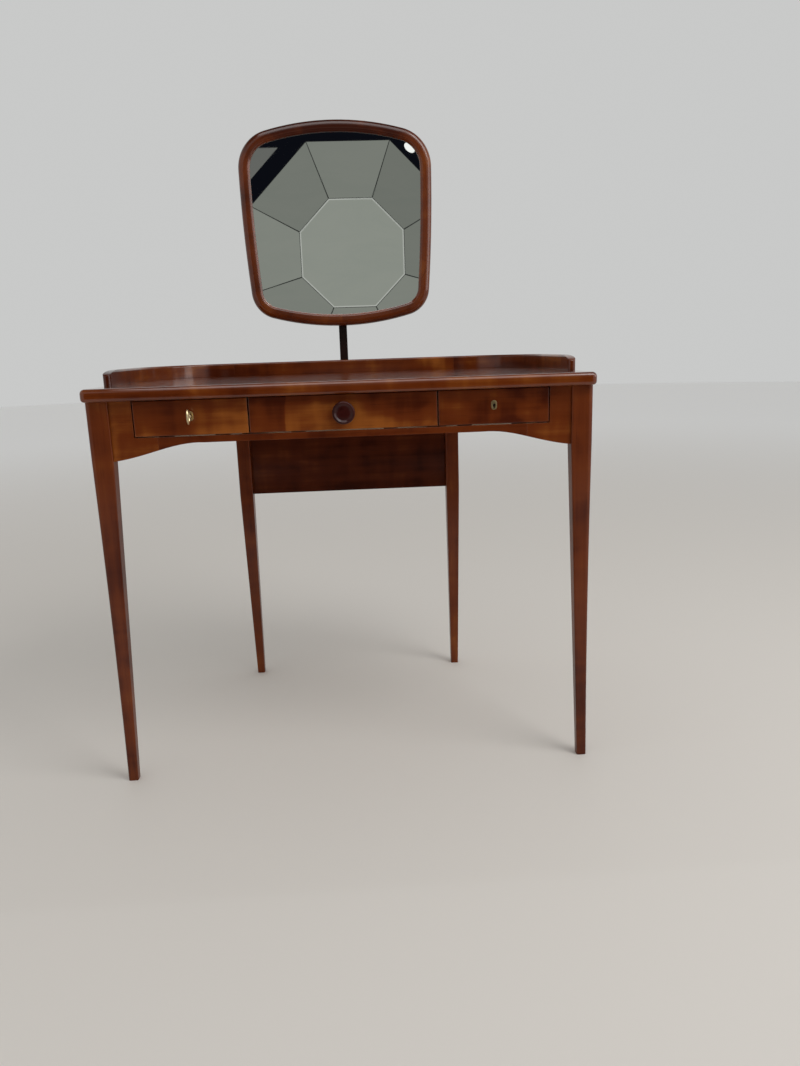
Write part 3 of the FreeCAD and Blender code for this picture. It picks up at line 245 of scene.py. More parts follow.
def card(name, size, place, turns, colour, fade=None):
    """A flat sheet turned about X and Z and then moved. Fade gives the radii of its dark part."""
    shape = bmesh.new()
    bmesh.ops.create_grid(shape, x_segments=1, y_segments=1, size=SHEET_HALF)
    bmesh.ops.scale(shape, vec=(*size, 1.0), verts=shape.verts)
    for degrees, axis in zip(turns, "XZ"):
        lean(shape, axis, degrees)
    bmesh.ops.translate(shape, vec=place, verts=shape.verts)
    made = new_mesh(name, shape)
    cloth = name + "_cloth"
    made.data.materials.append(fading_glow(cloth, colour, place, fade) if fade else glow(cloth, colour))
    only_in_reflections(made)


floor_shape = bmesh.new()
bmesh.ops.create_circle(floor_shape, cap_ends=True, segments=96, radius=FLOOR_RADIUS)
floor = new_mesh("floor", floor_shape)
floor_paint = Recipe("floor_paint")
away = floor_paint.add("ShaderNodeVectorMath", _0=floor_paint.place)
away.operation = "LENGTH"
# Painted light: the floor is painted paler away from the table, so that it fades into the sky.
painted_far_light = floor_paint.spread(away.outputs["Value"], *FLOOR_FADE)
floor_paint.set(floor_paint.shader.inputs["Base Color"], floor_paint.blend(painted_far_light, FLOOR_NEAR, FLOOR_FAR))
floor_paint.set(floor_paint.shader.inputs["Roughness"], FLOOR_ROUGHNESS)
floor_paint.set(floor_paint.shader.inputs["Specular IOR Level"], FLOOR_SHINE)
floor.data.materials.append(floor_paint.material)

sky = bpy.data.worlds.new("sky")
bpy.context.scene.world = sky
sky.use_nodes = True
sky.node_tree.nodes["Background"].inputs["Color"].default_value = (*SKY_COLOUR, 1.0)
sky.node_tree.nodes["Background"].inputs["Strength"].default_value = SKY_STRENGTH

lamp = bpy.data.objects.new("lamp", bpy.data.lights.new("lamp", "AREA"))
bpy.context.scene.collection.objects.link(lamp)
lamp.data.shape = "DISK"
lamp.data.size = LAMP_SIZE
lamp.data.energy = LAMP_POWER
lamp.location = LAMP_PLACE
lamp.rotation_mode = "QUATERNION"
lamp.rotation_quaternion = (LAMP_AIM - LAMP_PLACE).to_track_quat("-Z", "Y")

card("curtain", size=(5.2, 4.4), place=(0.0, -3.4, 0.85), turns=(90, 0), colour=CURTAIN_COLOUR,
     fade=(1.45, 1.0, 1.5))
card("dark_rug", size=(3.0, 3.2), place=(0.0, -2.2, 0.002), turns=(0, 0), colour=CEILING_COLOUR,
     fade=(0.75, 0.9, 1.0))
card("dark_ceiling", size=(8.0, 8.0), place=(0.0, -0.4, 3.8), turns=(0, 0), colour=CEILING_COLOUR,
     fade=(2.4, 2.4, 1.0))
card("ceiling_panel", size=(3.0, 2.6), place=(0.3, -1.6, 3.5), turns=(0, 0), colour=PANEL_COLOUR)
card("window", size=(2.3, 2.0), place=(3.2, -1.2, 1.7), turns=(90, 90), colour=PANEL_COLOUR)


def eight_sided(shape, middle_x, middle_z, flat_half):
    """The edges of an upright octagon with level top and bottom edges."""
    half_side = 360 / 16
    across = flat_half / math.cos(math.radians(half_side))
    ring = bmesh.ops.create_circle(shape, segments=8, radius=across)["verts"]
    lean(shape, "Z", half_side, ring)
    lean(shape, "X", 90, ring)
    bmesh.ops.translate(shape, vec=(middle_x, SOFT_BOX_PLACE, middle_z), verts=ring)
    return list({edge for vert in ring for edge in vert.link_edges})


box_shape = bmesh.new()
inner_edges = eight_sided(box_shape, *SOFT_BOX_INNER)
outer_edges = eight_sided(box_shape, *SOFT_BOX_OUTER)
panels = bmesh.ops.bridge_loops(box_shape, edges=inner_edges + outer_edges)["faces"]
front_cloth = bmesh.ops.contextual_create(box_shape, geom=inner_edges)["faces"]
for panel in panels:
    spot = panel.calc_center_median()
    eighth = math.atan2(spot.z - SOFT_BOX_INNER[1], spot.x - SOFT_BOX_INNER[0]) / math.radians(45)
    panel.material_index = SIDES + round(eighth) % len(SOFT_BOX_SIDES)
front_cloth[0].material_index = FRONT
tape = bmesh.ops.inset_individual(box_shape, faces=front_cloth, thickness=TAPE_WIDTH)["faces"]
seams = bmesh.ops.inset_individual(box_shape, faces=panels, thickness=SEAM_WIDTH)["faces"]
for strip in tape:
    strip.material_index = TAPE
for strip in seams:
    strip.material_index = SEAM
soft_box = new_mesh("soft_box", box_shape)
soft_box.data.materials.append(glow("box_tape", TAPE_COLOUR))
soft_box.data.materials.append(glow("box_seam", SEAM_COLOUR))
for index, grey in enumerate((SOFT_BOX_FRONT, *SOFT_BOX_SIDES)):
    soft_box.data.materials.append(glow(f"box_cloth_{index}", tuple(grey * tint for tint in CLOTH_TINT)))
only_in_reflections(soft_box)

sheet_shape = bmesh.new()
bmesh.ops.create_grid(sheet_shape, x_segments=1, y_segments=1, size=SHEET_HALF)
lean(sheet_shape, "X", 90)
bmesh.ops.translate(sheet_shape, vec=(SIDE_SHEET_MIDDLE, SOFT_BOX_PLACE, SIDE_SHEET_TOP - SHEET_HALF),
                    verts=sheet_shape.verts)
slope = Vector((-1.0, 0.0, 1.0)).normalized()
near_edge = Vector((SOFT_BOX_OUTER[0], SOFT_BOX_PLACE, SOFT_BOX_OUTER[1])) + slope * (
    SOFT_BOX_OUTER[2] + SIDE_SHEET_GAP)
bmesh.ops.bisect_plane(sheet_shape, geom=sheet_shape.verts[:] + sheet_shape.edges[:] + sheet_shape.faces[:],
                       plane_co=near_edge, plane_no=slope, clear_inner=True)
side_sheet = new_mesh("side_sheet", sheet_shape)
side_sheet.data.materials.append(glow("sheet_cloth", SIDE_SHEET_GREY))
only_in_reflections(side_sheet)

bulb_shape = bmesh.new()
bmesh.ops.create_circle(bulb_shape, cap_ends=True, segments=24, radius=BULB_RADIUS)
bmesh.ops.scale(bulb_shape, vec=(1.0, BULB_FLATNESS, 1.0), verts=bulb_shape.verts)
lean(bulb_shape, "Z", BULB_LEAN)
lean(bulb_shape, "X", 90)
bmesh.ops.translate(bulb_shape, vec=BULB_PLACE, verts=bulb_shape.verts)
bulb = new_mesh("bulb", bulb_shape)
bulb.data.materials.append(glow("bulb_glass", BULB_COLOUR))
only_in_reflections(bulb)

# ---------------------------------------------------------------------------------------------
# The top board. Stained birch, planed and rounded on its long edges, with a hard gloss lacquer.
# It is screwed down through glue blocks and carries the raised rim on dowels.
# ---------------------------------------------------------------------------------------------
BIRCH_DARK = (0.066, 0.0092, 0.0010)
BIRCH_MIDDLE = (0.135, 0.0245, 0.0024)
BIRCH_LIGHT = (0.29, 0.082, 0.0105)
BARE_DARK = (0.40, 0.25, 0.13)
BARE_LIGHT = (0.58, 0.41, 0.24)
SHIFT_SHARES = (1.0, 0.7, 1.3)
RIM_BEND = 0.40
RIM_DEPTH_SHARE = 0.15
FRAME_BEND = 0.21
FRAME_DEPTH_SHARE = 0.5

# The wood's figure: lumps for each metre, along the fibres and across them.
FIBRES = (2.6, 75.0)
PORES = (16.0, 520.0)
CLOUDS = (9.0, 15.0)
BARS = (34.0, 6.0)
BOARDS = (1.6, 5.0)
WEAR_AND_HIGHLIGHT_PATCHES = (30.0, 60.0)

# How much each kind of figure adds to the tone, and where the tone turns from one shade to the next.
CLOUD_SHARE = 1.9
BAR_SHARE = 0.9
FIBRE_SHARE = 0.8
BOARD_SHARE = 0.7
DARK_TO_MIDDLE = (0.0, 0.55)
MIDDLE_TO_LIGHT = (0.5, 1.15)
PORE_DEPTH = (0.60, 0.78, 0.0, 0.45)
PORE_SHADE = 0.55
SHADE_WANDER = 0.02
# Painted shade above a given height: where it starts and ends below and above it, and how dark it gets.
TOP_PAINTED_SHADE = (-0.03, 0.05, 0.0, 0.5)
# How the patches of lighter arris spread: partly wear, partly painted highlight.
WEAR_AND_HIGHLIGHT_SPREAD = (0.35, 0.7)
ARRIS_WIDTH = 0.0012
STAIN_EDGE = 0.0004
WOOD_SHINE = 0.05
PORE_BUMP = 0.6
LACQUER_BUMP = 0.16
BUMP_HEIGHT = 0.0005


def grain_place(recipe, run, shift):
    """Where a spot lies in the wood, first along the fibres, whose way run names, then across them."""
    turns = {"x": (0.0, 0.0, 0.0), "y": (0.0, 0.0, -math.pi / 2), "z": (0.0, math.pi / 2, 0.0)}
    if run in turns:
        node = recipe.add("ShaderNodeMapping", Vector=recipe.place, Rotation=turns[run],
                          Location=tuple(shift * share for share in SHIFT_SHARES))
        return node.outputs[0]
    parts = recipe.add("ShaderNodeSeparateXYZ", Vector=recipe.place).outputs
    if run == "round the rim":
        angle = recipe.calc("ARCTAN2", parts["X"], parts["Y"])
        radius = RIM_BEND
        cross = parts["Z"]
        outward = recipe.calc("MULTIPLY", parts["Y"], RIM_DEPTH_SHARE)
    else:
        frame_low, frame_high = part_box("mirror_frame")
        height = recipe.calc("SUBTRACT", parts["Z"], (frame_low.z + frame_high.z) / 2)
        angle = recipe.calc("ARCTAN2", parts["X"], height)
        radius = FRAME_BEND
        squares = [recipe.calc("POWER", side, 2.0) for side in (parts["X"], height)]
        cross = recipe.calc("MULTIPLY", recipe.calc("SQRT", recipe.calc("ADD", *squares)), FRAME_DEPTH_SHARE)
        outward = parts["Y"]
    along = recipe.calc("MULTIPLY", angle, radius)
    node = recipe.add("ShaderNodeCombineXYZ", X=recipe.calc("ADD", along, shift), Y=cross, Z=outward)
    return node.outputs[0]


def lacquered_wood(name, run, shift=0.0, painted_shade_above=None, shades=(), dark=BIRCH_DARK, middle=BIRCH_MIDDLE,
                   light=BIRCH_LIGHT, figure=1.0, bias=0.0, gloss=0.8, gloss_rough=0.12, rough=0.34, wear_and_highlight=0.5,
                   bare_behind=None):
    """Stained birch: cloudy figure, bars across the fibres, fine pores, arrises lightened by wear and painted
    highlight, lacquer.

    Shades are places where the board turns lighter or darker: from one X to another, by how much.
    """
    made = Recipe(name)
    grain = grain_place(made, run, shift)
    places = made.add("ShaderNodeSeparateXYZ", Vector=made.place).outputs
    fibres = made.cloud(made.stretched(grain, *FIBRES), detail=4.0, rough=0.6)
    pores = made.cloud(made.stretched(grain, *PORES), detail=2.0, rough=0.6)
    clouds = made.cloud(made.stretched(grain, *CLOUDS), detail=2.0, bent=0.5)
    bars = made.cloud(made.stretched(grain, *BARS), detail=2.0, bent=0.3)
    boards = made.cloud(made.stretched(grain, *BOARDS), detail=1.0)
    tone = made.calc("MULTIPLY", made.calc("SUBTRACT", clouds, 0.5), CLOUD_SHARE * figure)
    for pattern, share in ((bars, BAR_SHARE * figure), (fibres, FIBRE_SHARE), (boards, BOARD_SHARE)):
        tone = made.calc("MULTIPLY_ADD", made.calc("SUBTRACT", pattern, 0.5), share, tone)
    tone = made.calc("ADD", tone, 0.5 + bias)
    wander = made.calc("MULTIPLY_ADD", made.calc("SUBTRACT", clouds, 0.5), SHADE_WANDER, places["X"])
    for start, end, amount in shades:
        tone = made.calc("ADD", tone, made.spread(wander, start, end, 0.0, amount))
    # Painted shade: the tone is darkened above a given height, for a top face that looks away from the light.
    if painted_shade_above is not None:
        start, end, none, amount = TOP_PAINTED_SHADE
        fade = made.spread(places["Z"], painted_shade_above + start, painted_shade_above + end, none, amount)
        tone = made.calc("SUBTRACT", tone, fade)
    colour = made.blend(made.spread(tone, *DARK_TO_MIDDLE), dark, middle)
    colour = made.blend(made.spread(tone, *MIDDLE_TO_LIGHT), colour, light)
    colour = made.blend(made.spread(pores, *PORE_DEPTH), colour, tuple(PORE_SHADE * c for c in dark))
    # Arrises are painted lighter in patches: partly wear, partly a painted highlight along the edges.
    edge, rounded = made.arris(ARRIS_WIDTH)
    patches = made.spread(made.cloud(made.stretched(grain, *WEAR_AND_HIGHLIGHT_PATCHES)), *WEAR_AND_HIGHLIGHT_SPREAD)
    rubbed_and_highlight = made.calc("MULTIPLY", edge, patches)
    colour = made.blend(made.calc("MULTIPLY", rubbed_and_highlight, wear_and_highlight), colour, light)
    if bare_behind is not None:
        bare = made.blend(made.spread(tone, 0.0, 1.0), BARE_DARK, BARE_LIGHT)
        behind = made.spread(places["Y"], bare_behind - STAIN_EDGE, bare_behind + STAIN_EDGE)
        colour = made.blend(behind, colour, bare)
    made.set(made.shader.inputs["Base Color"], colour)
    made.set(made.shader.inputs["Roughness"], made.spread(fibres, 0.3, 0.7, rough - 0.05, rough + 0.07))
    made.set(made.shader.inputs["Specular IOR Level"], WOOD_SHINE)
    made.set(made.shader.inputs["Coat Weight"], gloss)
    made.set(made.shader.inputs["Coat Roughness"], gloss_rough)
    made.raise_bumps(made.calc("MULTIPLY_ADD", pores, PORE_BUMP, fibres), LACQUER_BUMP, BUMP_HEIGHT, rounded)
    made.set(made.shader.inputs["Coat Normal"], rounded)
    return made.material


def finish(material, *names):
    """Give CAD pieces their finish."""
    for name in names:
        nodes[name].material_slots[0].material = material


finish(lacquered_wood("top_gloss", "x", shift=0.31, bias=-0.10, gloss=1.0, gloss_rough=0.06, rough=0.28,
                      figure=0.7, wear_and_highlight=0.25),
       "top_board")

# ---------------------------------------------------------------------------------------------
# The raised rim and its dowels. Thin birch, straight across the back and bent round both rear
# corners, glued and dowelled to the top so that nothing rolls off it.
# ---------------------------------------------------------------------------------------------
finish(lacquered_wood("rim_back_lacquer", "x", shift=1.7, gloss=0.9, gloss_rough=0.10, bias=0.02), "rim_back")
finish(lacquered_wood("rim_side_lacquer", "round the rim", shift=2.3, gloss=0.9, gloss_rough=0.10,
                      bias=-0.05),
       "rim_left", "rim_right")

BARE_FIBRES = (3.5, 190.0)
BARE_BANDS = (1.6, 34.0)
BARE_PORES = (20.0, 600.0)
BARE_FIBRE_SHARE = 1.1
BARE_DARK_TO_LIGHT = (0.2, 0.8)
BARE_PORE_DEPTH = (0.62, 0.8, 0.0, 0.35)
BARE_PORE_SHADE = 0.5
BARE_ARRIS_WIDTH = 0.0008
HANDLED = 0.35
HANDLED_SHADE = 0.7
BARE_PORE_BUMP = 0.5
BARE_BUMP = 0.3


def bare_wood(name, run, shift=0.0, dark=BARE_DARK, light=BARE_LIGHT, rough=0.62):
    """Plain unfinished wood with fine fibres, soft broad bands and handled arrises."""
    made = Recipe(name)
    grain = grain_place(made, run, shift)
    fibres = made.cloud(made.stretched(grain, *BARE_FIBRES), detail=5.0, rough=0.7)
    bands = made.cloud(made.stretched(grain, *BARE_BANDS), detail=3.0, bent=0.4)
    pores = made.cloud(made.stretched(grain, *BARE_PORES), detail=1.0)
    tone = made.calc("MULTIPLY_ADD", made.calc("SUBTRACT", fibres, 0.5), BARE_FIBRE_SHARE, bands)
    colour = made.blend(made.spread(tone, *BARE_DARK_TO_LIGHT), dark, light)
    pore_colour = tuple(BARE_PORE_SHADE * c for c in dark)
    colour = made.blend(made.spread(pores, *BARE_PORE_DEPTH), colour, pore_colour)
    edge, rounded = made.arris(BARE_ARRIS_WIDTH)
    colour = made.blend(made.calc("MULTIPLY", edge, HANDLED), colour, tuple(HANDLED_SHADE * c for c in dark))
    made.set(made.shader.inputs["Base Color"], colour)
    made.set(made.shader.inputs["Roughness"], made.spread(fibres, 0.3, 0.7, rough - 0.06, rough + 0.08))
    height = made.calc("MULTIPLY_ADD", pores, BARE_PORE_BUMP, fibres)
    made.raise_bumps(height, BARE_BUMP, BUMP_HEIGHT, rounded)
    return made.material


finish(bare_wood("beech_dowel", "z", dark=(0.42, 0.27, 0.16), light=(0.60, 0.44, 0.28)), "rim_dowels")

# ---------------------------------------------------------------------------------------------
# The four legs. Solid birch, square under the top and tapered to slim flat feet, with a rounded
# outer arris. The aprons and the back panel are tenoned into them.
# ---------------------------------------------------------------------------------------------
finish(lacquered_wood("front_leg_lacquer", "z", shift=0.9, bias=-0.12, figure=0.55, wear_and_highlight=0.7, gloss=0.45,
                      gloss_rough=0.18),
       "front_leg_left", "front_leg_right")
finish(lacquered_wood("rear_leg_lacquer", "z", shift=4.1, bias=-0.04, figure=0.5, wear_and_highlight=0.6, gloss=0.45,
                      gloss_rough=0.18),
       "rear_leg_left", "rear_leg_right")

# ---------------------------------------------------------------------------------------------
# The aprons and the back panel. The front rail and its two arched ends are golden birch, the side
# aprons are bent round the rear corners, and one deep board closes the back between the rear legs.
# ---------------------------------------------------------------------------------------------
finish(lacquered_wood("front_rail_lacquer", "x", shift=5.2, bias=-0.22, figure=0.6), "front_rail")
finish(lacquered_wood("left_end_lacquer", "x", shift=6.6, bias=0.10, figure=0.8), "front_end_piece_left")
finish(lacquered_wood("right_end_lacquer", "x", shift=7.9, bias=-0.12, figure=0.8), "front_end_piece_right")
finish(lacquered_wood("side_apron_lacquer", "round the rim", shift=3.4, figure=0.7), "side_apron_left",
       "side_apron_right")
finish(lacquered_wood("back_panel_lacquer", "x", shift=8.8, dark=(0.036, 0.0055, 0.0009),
                      middle=(0.068, 0.0112, 0.0018), light=(0.125, 0.028, 0.0048), figure=0.8, gloss=0.3,
                      gloss_rough=0.1), "back_panel")

# ---------------------------------------------------------------------------------------------
# The hidden woodwork that the drawers run on: two dividers, six runners, two guides, six stops and
# the glue blocks. Plain unfinished birch and pine, glued in place.
# ---------------------------------------------------------------------------------------------
finish(bare_wood("inside_wood", "y", shift=1.1, dark=(0.33, 0.20, 0.11), light=(0.50, 0.34, 0.20)),
       "drawer_divider_left", "drawer_divider_right", "drawer_runners", "drawer_guides")
finish(bare_wood("block_wood", "x", shift=2.6, dark=(0.36, 0.22, 0.12), light=(0.54, 0.37, 0.22)),
       "drawer_stops", "glue_blocks")

# ---------------------------------------------------------------------------------------------
# The three drawer fronts. Thick figured birch, stained and lacquered on the face and left bare
# behind, with sockets for the sides' dovetails. Each is cut from another part of the board.
# ---------------------------------------------------------------------------------------------
UNSTAINED_DEPTH = 0.0008
front_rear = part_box("centre_drawer_front")[1].y - UNSTAINED_DEPTH
finish(lacquered_wood("centre_front_lacquer", "x", shift=9.35, bias=-0.14, figure=1.0, wear_and_highlight=0.15,
                      shades=((-0.102, -0.098, 0.42), (-0.075, -0.02, -0.20), (0.0, 0.06, 0.16)),
                      bare_behind=front_rear),
       "centre_drawer_front")
finish(lacquered_wood("left_front_lacquer", "x", shift=11.2, bias=0.08, figure=0.8, wear_and_highlight=0.15,
                      shades=((-0.27, -0.21, 0.16),),
                      bare_behind=front_rear),
       "left_drawer_front")
finish(lacquered_wood("right_front_lacquer", "x", shift=12.9, bias=-0.24, figure=1.1, wear_and_highlight=0.15,
                      bare_behind=front_rear),
       "right_drawer_front")

# ---------------------------------------------------------------------------------------------
# The drawer boxes. Thin bare birch sides, dovetailed into the fronts, a lower back and a thin
# plywood bottom held in a groove.
# ---------------------------------------------------------------------------------------------
for index, drawer in enumerate(("centre_drawer", "left_drawer", "right_drawer")):
    finish(bare_wood(drawer + "_side_wood", "y", shift=3.0 + index), drawer + "_side_left",
           drawer + "_side_right")
    finish(bare_wood(drawer + "_back_wood", "x", shift=6.0 + index), drawer + "_back")
    finish(bare_wood(drawer + "_bottom_ply", "x", shift=9.0 + index, dark=(0.45, 0.30, 0.17),
                     light=(0.60, 0.44, 0.27), rough=0.5), drawer + "_bottom")

# ---------------------------------------------------------------------------------------------
# The knob. One piece of dark stained hardwood, turned with a waisted neck and a dished face,
# polished, and held by a screw from inside the centre drawer.
# ---------------------------------------------------------------------------------------------
KNOB_OUTLINE = (
    (0.500, 1.000), (0.505, 0.965), (0.470, 0.925), (0.415, 0.800), (0.420, 0.680), (0.500, 0.540),
    (0.700, 0.400), (0.910, 0.305), (0.990, 0.225), (1.000, 0.150), (0.965, 0.060), (0.900, 0.012),
    (0.830, 0.012), (0.770, 0.050), (0.690, 0.110), (0.540, 0.155), (0.300, 0.160), (0.110, 0.150),
)
KNOB_SETBACK = 0.0001
SAME_SPOT = 1e-6


def ride_as(thing, body, slot_name, material, *replaced):
    """Give a new piece its finish, its place on a body and the CAD pieces it stands for."""
    thing.data.materials.append(material)
    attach(thing, body)
    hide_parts(*replaced)


def shade(shape, smooth):
    """Shade all of a bmesh smooth or flat."""
    for face in shape.faces:
        face.smooth = smooth


def turned(outline, middle, radius, front_y, rear_y, steps=48):
    """A bmesh turned about a level axis along Y, from pairs of radius and depth as shares."""
    shape = bmesh.new()
    spots = [shape.verts.new((middle.x + radius * r, front_y + (rear_y - front_y) * d, middle.z))
             for r, d in outline]
    edges = [shape.edges.new(pair) for pair in zip(spots, spots[1:])]
    bmesh.ops.spin(shape, geom=spots + edges, cent=middle, axis=(0, 1, 0), angle=2 * math.pi, steps=steps,
                   use_merge=True)
    bmesh.ops.remove_doubles(shape, verts=shape.verts, dist=SAME_SPOT)
    bmesh.ops.holes_fill(shape, edges=[e for e in shape.edges if e.is_boundary], sides=0)
    bmesh.ops.recalc_face_normals(shape, faces=shape.faces)
    shade(shape, smooth=True)
    return shape


def rounded_off(thing, levels):
    """Smooth a piece with a subdivision surface, the same in every view."""
    smoother = thing.modifiers.new("smooth", "SUBSURF")
    smoother.levels = levels
    smoother.render_levels = levels
    return thing


knob_low, knob_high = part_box("knob")
knob_middle = (knob_low + knob_high) / 2
knob_radius = (knob_high.z - knob_low.z) / 2
knob_shape = turned(KNOB_OUTLINE, knob_middle, knob_radius, knob_low.y + KNOB_SETBACK, knob_high.y)
knob_wood = lacquered_wood("knob_polish", "y", shift=0.4, dark=(0.020, 0.0022, 0.0016),
                           middle=(0.045, 0.0060, 0.0040), light=(0.105, 0.0180, 0.0105), figure=0.7,
                           gloss=0.35, gloss_rough=0.16, rough=0.3, wear_and_highlight=0.2)
ride_as(rounded_off(new_mesh("turned_knob", knob_shape), 1), "centre_drawer", "knob_wood", knob_wood, "knob")

# ---------------------------------------------------------------------------------------------
# The brass: keyhole plates, key, mirror bracket and its nut. Cast and filed, once polished, and
# now brown in the corners with fine rubbing marks.
# ---------------------------------------------------------------------------------------------
TARNISH_PATCHES = (160.0, 160.0)
SCRATCHES = (260.0, 2600.0)
METAL_ARRIS_WIDTH = 0.0004
BRIGHT_EDGE = 0.25
METAL_BUMP = 0.12
METAL_BUMP_HEIGHT = 0.0002


def rubbed_metal(name, bright, dull, rough, scratches=0.5, tarnish=0.5):
    """Old metal: bright where it is handled, dull in patches, with fine scratches."""
    made = Recipe(name)
    patches = made.cloud(made.stretched(made.place, *TARNISH_PATCHES), detail=4.0, rough=0.6)
    marks = made.cloud(made.stretched(made.place, *SCRATCHES), detail=2.0)
    edge, rounded = made.arris(METAL_ARRIS_WIDTH)
    dullness = made.spread(made.calc("SUBTRACT", patches, made.calc("MULTIPLY", edge, BRIGHT_EDGE)),
                           0.62 - 0.35 * tarnish, 0.80 - 0.2 * tarnish)
    made.set(made.shader.inputs["Base Color"], made.blend(dullness, bright, dull))
    made.set(made.shader.inputs["Metallic"], 1.0)
    made.set(made.shader.inputs["Roughness"], made.spread(dullness, 0.0, 1.0, rough, rough + 0.25))
    height = made.calc("MULTIPLY_ADD", marks, scratches, patches)
    made.raise_bumps(height, METAL_BUMP, METAL_BUMP_HEIGHT, rounded)
    return made.material


old_brass = rubbed_metal("old_brass", (0.66, 0.50, 0.25), (0.31, 0.21, 0.10), 0.28)
finish(old_brass, "strike_plates", "pivot_bracket")

# ---------------------------------------------------------------------------------------------
# The escutcheons. Small oval plates with a softened edge and a keyhole, let flat on the drawer
# fronts and held by glue and their own tight fit round the keyhole.
# ---------------------------------------------------------------------------------------------
PLATE_EDGE = 0.00035
PLATE_CORNERS = 48
EYE_HOLE_RADIUS = 0.0027
SLOT_HALF = 0.0015
SLOT_DROP = 0.0061
SLOT_TAPER = 0.75
SHARP_ANGLE = math.radians(60)


def keyhole_plate(name, node, body):
    """An oval plate with a keyhole, made flat and then stood up on the drawer's front."""
    low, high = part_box(node)
    middle = (low + high) / 2
    radius = (high.x - low.x) / 2
    straight = (high.z - low.z) / 2 - radius
    shape = bmesh.new()
    outer = bmesh.ops.create_circle(shape, segments=PLATE_CORNERS, radius=radius)["verts"]
    for vert in outer:
        vert.co.y += math.copysign(straight, vert.co.y)
    inner = bmesh.ops.create_circle(shape, segments=PLATE_CORNERS, radius=EYE_HOLE_RADIUS)["verts"]
    for vert in inner:
        if vert.co.y < 0 and abs(vert.co.x) < SLOT_HALF:
            vert.co.y = -SLOT_DROP
            vert.co.x *= SLOT_TAPER
    plate = bmesh.ops.bridge_loops(shape, edges=shape.edges[:])["faces"]
    bmesh.ops.recalc_face_normals(shape, faces=plate)
    thick = high.y - low.y
    grown = bmesh.ops.extrude_face_region(shape, geom=plate)["geom"]
    lifted = [item for item in grown if isinstance(item, bmesh.types.BMVert)]
    bmesh.ops.translate(shape, vec=(0.0, 0.0, thick), verts=lifted)
    bmesh.ops.recalc_face_normals(shape, faces=shape.faces)
    rims = [e for e in shape.edges if len(e.link_faces) == 2 and e.calc_face_angle() > SHARP_ANGLE
            and all(v.co.z > thick / 2 for v in e.verts)]
    bmesh.ops.bevel(shape, geom=rims, offset=PLATE_EDGE, affect="EDGES", segments=2, profile=0.5, material=-1)
    lean(shape, "X", 90)
    bmesh.ops.translate(shape, vec=(middle.x, high.y, middle.z), verts=shape.verts)
    ride_as(new_mesh(name, shape), body, "brass", old_brass, node)


keyhole_plate("left_keyhole_plate", "escutcheon_left", "left_drawer")
keyhole_plate("right_keyhole_plate", "escutcheon_right", "right_drawer")

# ---------------------------------------------------------------------------------------------
# The key. Cast brass with a round-section oval bow, a turned collar on a plain stem, and a small
# bit that stays inside the lock. It stands in the left-hand drawer.
# ---------------------------------------------------------------------------------------------
BOW_WIRE = 0.0017
STEM_RADIUS = 0.0022
BOW_LENGTH = 0.019
BIT_SIZE = (0.0020, 0.0040, 0.0050)
BIT_BACK = 0.0038
BIT_DROP = 0.0030
BIT_EDGE = 0.0003
STEM_OUTLINE = (
    (0.00, 0.000), (0.60, 0.000), (0.95, 0.015), (0.95, 0.120), (1.45, 0.135), (1.45, 0.190), (1.00, 0.205),
    (1.00, 0.960), (0.85, 1.000), (0.00, 1.000),
)


def take_in(shape, part):
    """Add a finished part to another shape."""
    carrier = bpy.data.meshes.new("carrier")
    part.to_mesh(carrier)
    part.free()
    shape.from_mesh(carrier)
    bpy.data.meshes.remove(carrier)


key_low, key_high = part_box("key")
key_middle = (key_low + key_high) / 2
key_shape = bmesh.new()
bow_half_depth = BOW_LENGTH / 2 - BOW_WIRE
bow_half_height = (key_high.z - key_low.z) / 2 - BOW_WIRE
wire = bmesh.ops.create_circle(key_shape, segments=16, radius=BOW_WIRE)["verts"]
bmesh.ops.translate(key_shape, vec=(0.0, bow_half_depth, 0.0), verts=wire)
wire_edges = list({edge for vert in wire for edge in vert.link_edges})
bmesh.ops.spin(key_shape, geom=wire + wire_edges, cent=(0, 0, 0), axis=(1, 0, 0), angle=2 * math.pi, steps=48,
               use_merge=True)
bmesh.ops.remove_doubles(key_shape, verts=key_shape.verts, dist=SAME_SPOT)
for vert in key_shape.verts:
    vert.co.z *= bow_half_height / bow_half_depth
bmesh.ops.translate(key_shape, vec=(key_middle.x, key_low.y + BOW_LENGTH / 2, key_middle.z),
                    verts=key_shape.verts)
stem_front = key_low.y + BOW_LENGTH - 2 * BOW_WIRE
stem_shape = turned(STEM_OUTLINE, key_middle, STEM_RADIUS, stem_front, key_high.y, steps=24)
take_in(key_shape, stem_shape)
bit = bmesh.ops.create_cube(key_shape, size=1.0)["verts"]
bmesh.ops.scale(key_shape, vec=BIT_SIZE, verts=bit)
bmesh.ops.translate(key_shape, vec=(key_middle.x, key_high.y - BIT_BACK, key_middle.z - BIT_DROP), verts=bit)
bit_edges = list({edge for vert in bit for edge in vert.link_edges})
bmesh.ops.bevel(key_shape, geom=bit_edges, offset=BIT_EDGE, affect="EDGES", segments=2, profile=0.5,
                material=-1)
bmesh.ops.recalc_face_normals(key_shape, faces=key_shape.faces)
shade(key_shape, smooth=True)
key_brass = rubbed_metal("key_brass", (0.74, 0.60, 0.36), (0.42, 0.31, 0.17), 0.30, tarnish=0.3)
ride_as(new_mesh("cast_key", key_shape), "lock_key", "brass", key_brass, "key")

